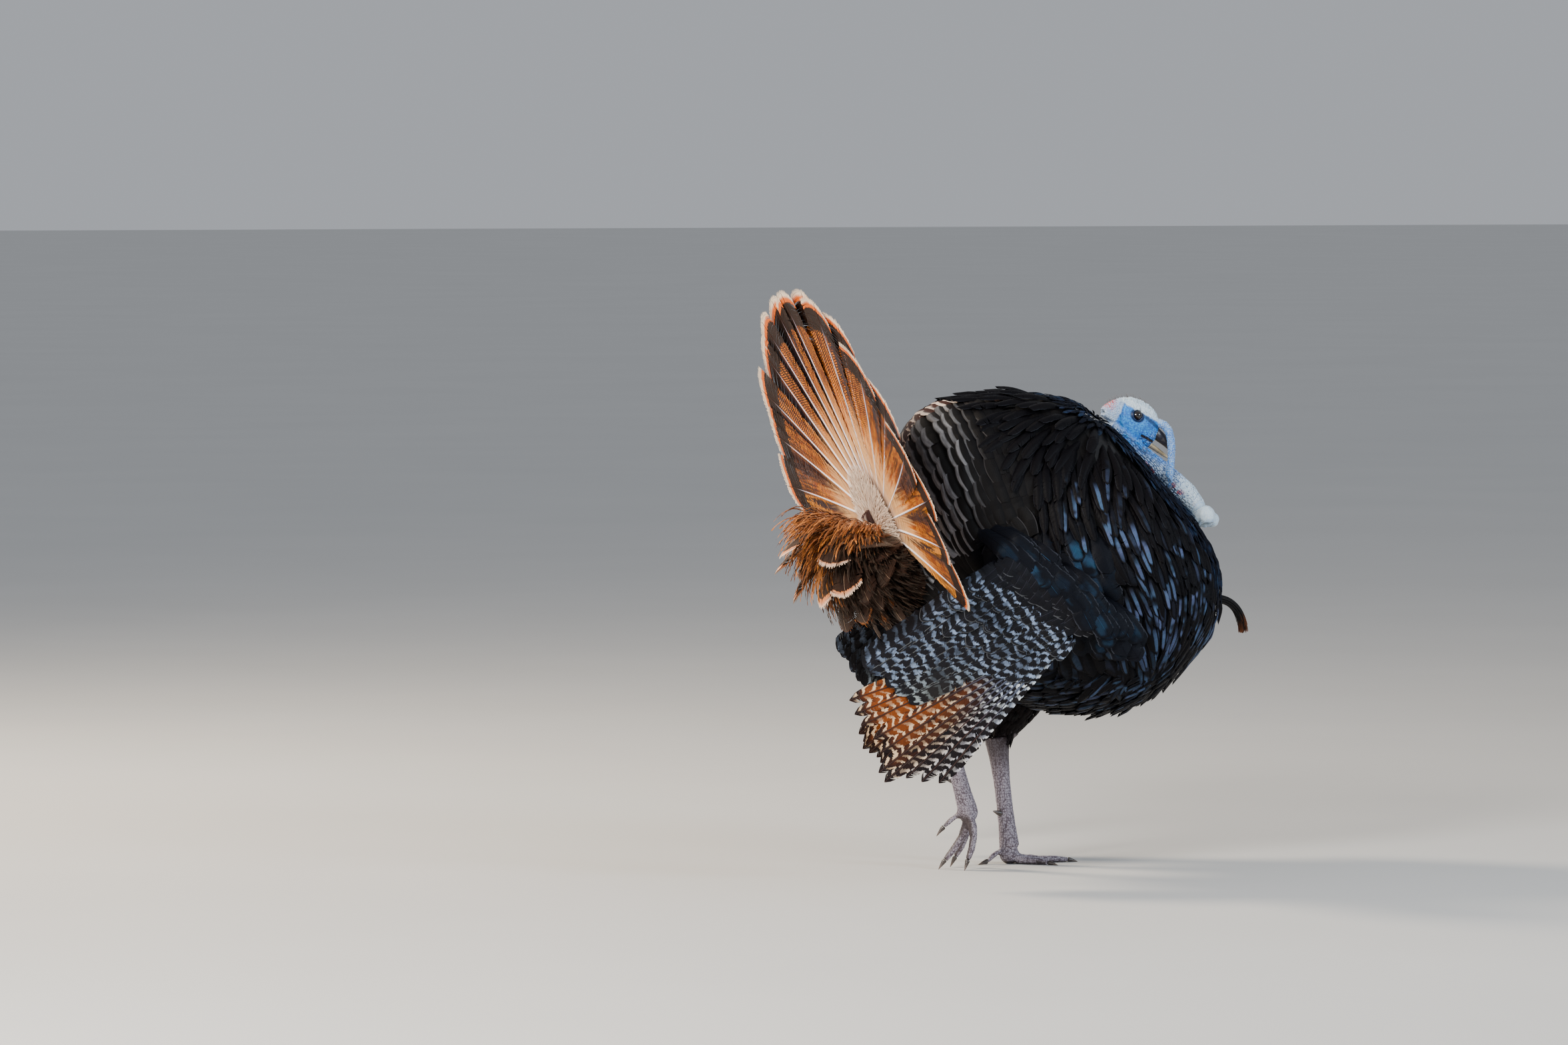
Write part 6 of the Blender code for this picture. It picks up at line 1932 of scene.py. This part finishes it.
def strands(name, lines, radii, finish_made, replaces, seed):
    """Bristles as thin tapering tubes along lines (n, rows, 3)."""
    sides = 4
    n, rows = lines.shape[:2]
    tangent = unit(np.gradient(lines, axis=1))
    hint = np.array([0.31, 0.83, 0.46])
    u = unit(np.cross(tangent, hint))
    v = np.cross(tangent, u)
    a = np.arange(sides) * 2 * math.pi / sides
    ring = u[:, :, None] * np.cos(a)[:, None] + v[:, :, None] * np.sin(a)[:, None]
    p = lines[:, :, None] + ring * radii[:, :, None, None]
    no = np.arange(n * rows * sides).reshape(n, rows, sides)
    quads = tube_quads(no).reshape(-1, 4)
    ends = np.concatenate([no[:, 0, ::-1], no[:, -1]])
    quads = np.vstack([quads, ends])
    rng = np.random.default_rng(seed)
    lot = np.repeat(rng.random(n), rows * sides)
    run = np.broadcast_to(np.linspace(0, 1, rows)[None, :, None], no.shape).ravel()
    at = np.repeat(np.stack([0.02 + 0.93 * rng.random(n), 0.02 + 0.93 * rng.random(n)], -1), rows * sides, 0)
    bake = at + np.stack([np.broadcast_to(a / 6.3, no.shape).ravel() * 0.003, run * 0.003], -1)
    return piece(name, p.reshape(-1, 3), quads, finish_made, replaces, {"run": run, "lot": lot},
                 {"OFBake": bake})


def build_beard():
    """The beard: bristles along one line, cut to different lengths."""
    rng = np.random.default_rng(501)
    count, rows = 320, 16
    line = spline(BEARD_LINE, rows)
    radius = line[:, 2]
    r, a = np.sqrt(rng.random(count)), rng.uniform(0, 2 * math.pi, count)
    cut = rng.uniform(0.80, 1.0, count)
    at = np.linspace(0, 1, rows)[None] * cut[:, None]
    x = table_at(line[:, 0], at)
    z = table_at(line[:, 1], at)
    wide = table_at(radius, at)
    bend = np.arctan2(np.gradient(z, axis=1), np.gradient(x, axis=1))
    u = (r * np.cos(a))[:, None] * wide
    v = (r * np.sin(a))[:, None] * wide
    wave = rng.normal(0, 0.0009, (count, 2))[:, :, None] * at[:, None] ** 2 * 2
    lines = np.stack([x - np.sin(bend) * u + wave[:, 0], v * 1.1 + wave[:, 1], z + np.cos(bend) * u], -1)
    radii = 0.00062 * (1 - 0.6 * at) + 0.00008
    strands("beard_bristles", lines, radii, BEARD, ["beard"], 502)


CROWN_TABLE = np.array([  # ahead of the head's middle, height of the crown there, half width
    (-0.051, 0.002, 0.012), (-0.043, 0.014, 0.017), (-0.028, 0.026, 0.0205), (-0.012, 0.031, 0.0215),
    (0.004, 0.0315, 0.021), (0.020, 0.028, 0.0175),
])


def build_face_bristles():
    """Sparse fine bristles on the crown and the back of the head."""
    rng = np.random.default_rng(511)
    count, rows = 130, 6
    a = rng.uniform(-0.050, 0.020, count)
    s = rng.uniform(-1, 1, count)
    top, wide = (np.interp(a, CROWN_TABLE[:, 0], CROWN_TABLE[:, k]) for k in (1, 2))
    b = top * np.sqrt(np.clip(1 - (s * 0.9) ** 2, 0.02, 1)) - 0.0012
    root = head_places(a, b, s * 0.9 * wide)
    way = unit(-HEAD_AHEAD * 0.6 + HEAD_UP * 0.8 + rng.normal(0, 0.25, (count, 3)))
    length = rng.uniform(0.003, 0.007, count)
    t = np.linspace(0, 1, rows)[None]
    lines = root[:, None] + way[:, None] * (length[:, None] * t)[..., None]
    lines = lines - HEAD_AHEAD * (0.25 * length[:, None] * t**2)[..., None]
    strands("head_bristles", lines, 0.00014 * (1 - 0.7 * t) * np.ones((count, 1)), BRISTLE, (), 512)


def plain_shape(base, widest, tip):
    """The width of a covert's vane along it."""
    def at(t):
        rise = base + (1 - base) * np.sin(0.5 * math.pi * np.clip(t / widest, 0, 1)) ** 0.9
        fall = tip + (1 - tip) * np.sqrt(np.clip(1 - ((t - widest) / (1 - widest)).clip(0, 1) ** 2.2, 0, 1))
        return np.where(t < widest, rise, fall)

    return at


def tail_glow(turn):
    """Where light comes through: the bare outer vane of the outermost feathers."""
    outermost = smooth(math.radians(62), math.radians(88), np.abs(turn))
    left = turn > 0
    return lambda c, t, n: smooth(0.02, -0.20, np.where(left[n], -c, c)) * outermost[n]


def under_lines(side, dip, reach, start, rows, droop=0.30):
    """Lines that fan out back and down from the tail's root, and the way up off each."""
    t = np.linspace(0, 1, rows + 1)[None]
    lower = dip[:, None] + droop * t**2
    ones = np.ones_like(lower)
    step = np.stack([-np.cos(lower) * np.cos(side)[:, None], np.sin(side)[:, None] * ones,
                     -np.sin(lower) * np.cos(side)[:, None]], -1)
    spine = UNDER_COVERT_START + unit(step) * (start[:, None] + (reach - start)[:, None] * t)[..., None]
    out = unit(np.stack([-np.sin(lower), 0.25 * np.sin(side)[:, None] * ones, np.cos(lower)], -1))
    return spine, out, t


def build_puff():
    """The loose hair-like plumes that hide the coverts' bases below the tail."""
    coat = Coat(125)
    rng = np.random.default_rng(126)
    count, rows = 4000, 8
    side = np.radians(rng.uniform(-76, 76, count))
    dip = np.radians(rng.uniform(-16, 122, count))
    start = rng.uniform(0.010, 0.112, count)
    reach = start + rng.uniform(0.036, 0.066, count)
    limit = (0.162 - 0.020 * (side / 1.15) ** 2) * rng.uniform(0.88, 1.0, count)
    reach = np.minimum(reach, limit)
    spine, out, t = under_lines(side, dip, reach, start, rows, 0.18)
    clump = np.round(side * 9) * 17.0 + np.round(dip * 9) * 5.0
    sway = (0.004 * np.sin(clump) + rng.normal(0, 0.003, count))[:, None] * t**2
    across = np.cross(unit(np.gradient(spine, axis=1)), out)
    lift = rng.uniform(0.001, 0.012, count)[:, None] * np.sin(math.pi * (0.1 + 0.72 * t))
    spine = spine + across * sway[..., None] + out * lift[..., None]
    half = rng.uniform(0.0011, 0.0022, count)[:, None, None]
    half = half * vane_shape(rows, 0.7, 0.40, 0.06)[None, :, None]
    at = 0.01 + 0.975 * np.stack([(side + 1.35) / 2.7, (dip + 0.30) / 2.45], -1)
    below = smooth(30, 75, np.degrees(dip) + rng.normal(0, 10, count))
    toward_body = smooth(0.15, 0.75, np.abs(side))
    dark = np.clip(0.75 * below + 0.75 * toward_body * smooth(-5, 30, np.degrees(dip))
                   + rng.uniform(-0.15, 0.35, count), 0, 1)
    coat.add(spine, out, np.repeat(half, 2, 2), at, lean=2.5, cup=0.30, blunt=0.2, fray=0.10, gaps=0.30,
             gap_depth=0.7, columns=1, relief=0.0005, tone=dark * smooth(0.016, 0.036, start),
             pale=smooth(0.044, 0.018, start))
    coat.make("under_tail_plumes", PUFF)


def back_low(x):
    """How far down the sides the rows of the back reach."""
    return 0.470 + 0.070 * smooth(-0.09, -0.03, x) + 0.075 * smooth(-0.02, 0.07, x)


def build_shoulder(name):
    """The dark blunt feathers that lap down over the top of the folded wing."""
    wing = WINGS[name]
    rng = np.random.default_rng(81 if name == "right" else 83)
    first, last = (np.array(v) for v in wing["arm"])
    coat = Coat(85 if name == "right" else 87)
    rows = 18
    for count, back, length, lift, wide, low, high in [(17, 0.092, 0.084, 0.0225, 0.0180, -0.10, 1.30),
                                                       (17, 0.080, 0.080, 0.0260, 0.0175, -0.14, 1.34),
                                                       (17, 0.070, 0.074, 0.0290, 0.0165, -0.14, 1.38)]:
        s = np.linspace(low, high, count) + rng.normal(0, 0.012, count)
        base = first + (last - first) * s[:, None] + np.array([math.cos(0.55), math.sin(0.55)]) * back
        dips = np.radians(mix(122, 132, s) + rng.normal(0, 5.0, count))
        t = np.linspace(0, 1, rows + 1)[None]
        low_lift = mix(0.30, 1.0, smooth(-0.10, 0.22, s))
        rise = (lift * low_lift + 0.0014 * rng.random(count))[:, None] * smooth(0.0, 0.62, t)
        rise = rise - 0.026 * smooth(0.50, 0.0, t)
        shape = vane_shape(rows, 0.50, 0.70, 0.70)
        # tone: how strongly each feather's painted sheen shows, at random
        wing_feathers(coat, wing, base, dips, length * rng.uniform(0.86, 1.08, count),
                      np.full(count, wide * 0.85), np.full(count, wide), rise, rows, (0.0005, 0.0003),
                      0.02 + 0.93 * rng.random((count, 2)), (0.003, 0.003), (shape, shape), bend=0.02,
                      roll=0.07, lean=2.0, cup=0.22, blunt=2.0, fray=0.02, gaps=0.05, columns=3,
                      tone=rng.uniform(0.0, 1.0, count) ** 2)
    made = coat.make(f"shoulder_feathers_{name}", SCAPULAR)
    swap_sides(made, wing)


# ---- finishes, pieces, stage -----------------------------------------------------------------
SKIN = skin_finish()
# the second colour given to each dark plumage is its painted sheen
PLUMAGE = dark_plumage("black_plumage", (0.0032, 0.0030, 0.0042), (0.090, 0.118, 0.235), 1.0, 0.46)
VELVET = dark_plumage("velvet_plumage", (0.0045, 0.0065, 0.0140), (0.022, 0.038, 0.090), 0.9, 0.62,
                      (0.0, 0.045), (-1.2, 1.2), 0.1)
SCAPULAR = dark_plumage("scapular_plumage", (0.0042, 0.0055, 0.0095), (0.028, 0.068, 0.145), 0.9, 0.46,
                        (0.003, 0.050), (-0.60, 0.75), 1.0)
BACK = back_finish()
THIGH = dark_plumage("thigh_plumage", (0.010, 0.007, 0.007), (0.040, 0.036, 0.038), 0.4, 0.60)
TAIL = tail_finish()
UPPER_COVERTS = covert_finish("upper_tail_coverts", (0.16, 0.050, 0.014), (0.30, 0.11, 0.03),
                              (0.62, 0.30, 0.11), (0.84, 0.62, 0.42), 0.012, 0.026, 0.4)
UNDER_COVERTS = covert_finish("under_tail_coverts", (0.26, 0.065, 0.010), (0.52, 0.17, 0.030),
                              (0.88, 0.30, 0.10), (0.96, 0.76, 0.60), 0.015, 0.060, 0.7, True)
PUFF = puff_finish()
DOWN = covert_finish("tail_down_finish", (0.93, 0.66, 0.46), (0.98, 0.87, 0.76), (0.97, 0.84, 0.72),
                     (0.98, 0.90, 0.82), 0.0005, 0.0006, 1.0, grime=0.06)
# the primaries' warm colours are painted glow of light shining through their tips
PRIMARY = flight_finish("primary_vanes", (0.0070, 0.0050, 0.0060), (0.260, 0.058, 0.006), 1.0,
                        (0.50, 0.60, 0.80), 0.0160, 0.36, -0.80, 0.36, clear_shaft=0.0010, tip_dark=0.009,
                        outer_share=0.25, warm_pale=(0.95, 0.66, 0.40), warm_from=0.12)
SECONDARY = flight_finish("secondary_vanes", (0.0085, 0.0075, 0.0100), (0.030, 0.024, 0.020), 0.5,
                          (0.17, 0.225, 0.33), 0.0185, 0.34, -0.60, 0.30, pale_edge_and_shade=0.55, fade=0.85,
                          grain=420.0, warm_pale=(0.33, 0.38, 0.38),
                          quill_tone=((0.02, 0.02, 0.03), (0.02, 0.018, 0.02)))
WING_COVERT = flight_finish("wing_covert_vanes", (0.0075, 0.0070, 0.0090), (0.03, 0.024, 0.022), 0.3,
                            (0.20, 0.26, 0.38), 0.0175, 0.36, -0.55, 0.28, pale_edge_and_shade=0.25, fade=0.70,
                            tip_dark=0.007, tip_edge=0.30, warm_pale=(0.32, 0.36, 0.42),
                            quill_tone=((0.02, 0.02, 0.03), (0.02, 0.018, 0.02)))
BILL = horn_finish("bill_horn", (0.030, 0.028, 0.034), (0.62, 0.48, 0.26), (0.020, 0.018, 0.020))
BILL_PALE = horn_finish("lower_bill_horn", (0.42, 0.34, 0.20), (0.60, 0.48, 0.28), (0.12, 0.09, 0.05))
CLAW = horn_finish("claw_horn", (0.055, 0.042, 0.038), (0.16, 0.12, 0.10), (0.015, 0.012, 0.012))
EYE = eye_finish()
BEARD = bristle_finish("beard_bristle", (0.012, 0.010, 0.010), (0.30, 0.085, 0.025))
BRISTLE = bristle_finish("head_bristle", (0.10, 0.07, 0.06), (0.55, 0.35, 0.25))

build_skin()
build_body_coat()
build_tail()
for body_side in WINGS:
    build_wing(body_side)
    build_thigh_coat(body_side)
build_bill("bill_top", BILL_UPPER, "bill_upper", True)
build_bill("bill_bottom", BILL_LOWER, "bill_lower", False)
build_eye("eyeball_left", 1)
build_eye("eyeball_right", -1)
refined_horn("claws", [n for n in sorted(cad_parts) if n.startswith("claw_")], CLAW)
refined_horn("spurs", ["spur_left", "spur_right"], CLAW)
build_beard()
build_face_bristles()


def area_light(name, place, target, size, power, colour):
    """A round lamp that faces its target."""
    light = bpy.data.lights.new(name, "AREA")
    light.shape, light.size, light.energy, light.color = "DISK", size, power, colour
    obj = bpy.data.objects.new(name, light)
    obj.location = place
    obj.rotation_euler = (Vector(target) - Vector(place)).to_track_quat("-Z", "Y").to_euler()
    bpy.context.scene.collection.objects.link(obj)
    return obj


FLOOR_REACH = 60.0
SKY = (0.82, 0.86, 0.93, 1)
SKY_STRENGTH = 0.50


def build_stage():
    """The floor, the sky and three lamps."""
    mesh = bpy.data.meshes.new("floor")
    reach = FLOOR_REACH
    mesh.from_pydata([(-reach, -reach, 0), (reach, -reach, 0), (reach, reach, 0), (-reach, reach, 0)], [],
                     [(0, 1, 2, 3)])
    mesh.materials.append(floor_finish())
    floor = bpy.data.objects.new("floor", mesh)
    bpy.context.scene.collection.objects.link(floor)
    world = bpy.data.worlds.new("studio")
    world.use_nodes = True
    back = world.node_tree.nodes["Background"]
    back.inputs["Color"].default_value = SKY
    back.inputs["Strength"].default_value = SKY_STRENGTH
    bpy.context.scene.world = world
    middle = (0.0, 0.0, 0.45)
    lights = [
        area_light("key", (-3.0, -3.0, 2.4), (-0.15, 0.0, 0.50), 1.3, 210, (1.0, 0.93, 0.84)),
        area_light("rim", (-2.8, 2.2, 3.0), middle, 1.0, 240, (1.0, 0.84, 0.64)),
        area_light("fill", (2.8, -3.2, 2.2), middle, 1.6, 95, (0.76, 0.88, 1.0)),
    ]


CAMERA_YAW = math.radians(14.5)
CAMERA_DIP = math.radians(3.0)
CAMERA_DISTANCE = 12.0
SENSOR = 36.0
VIEW_WIDTH = 2.353  # of the whole frame, at the bird
VIEW_MIDDLE = (-0.3335, 0.516)  # beside the floor point, to the right, and above it
VIEW_END = 200


def build_camera():
    """A far camera, so that near and far parts keep their sizes."""
    right = Vector((math.cos(CAMERA_YAW), -math.sin(CAMERA_YAW), 0))
    look = Vector((math.sin(CAMERA_YAW) * math.cos(CAMERA_DIP), math.cos(CAMERA_YAW) * math.cos(CAMERA_DIP),
                   -math.sin(CAMERA_DIP)))
    target = right * VIEW_MIDDLE[0] + Vector((0, 0, VIEW_MIDDLE[1])) + Vector(AHEAD)
    data = bpy.data.cameras.new("camera")
    data.sensor_width = SENSOR
    data.lens = SENSOR * CAMERA_DISTANCE / VIEW_WIDTH
    data.clip_end = VIEW_END
    camera = bpy.data.objects.new("camera", data)
    camera.location = target - look * CAMERA_DISTANCE
    camera.rotation_euler = look.to_track_quat("-Z", "Y").to_euler()
    bpy.context.scene.collection.objects.link(camera)
    bpy.context.scene.camera = camera


build_stage()
build_camera()
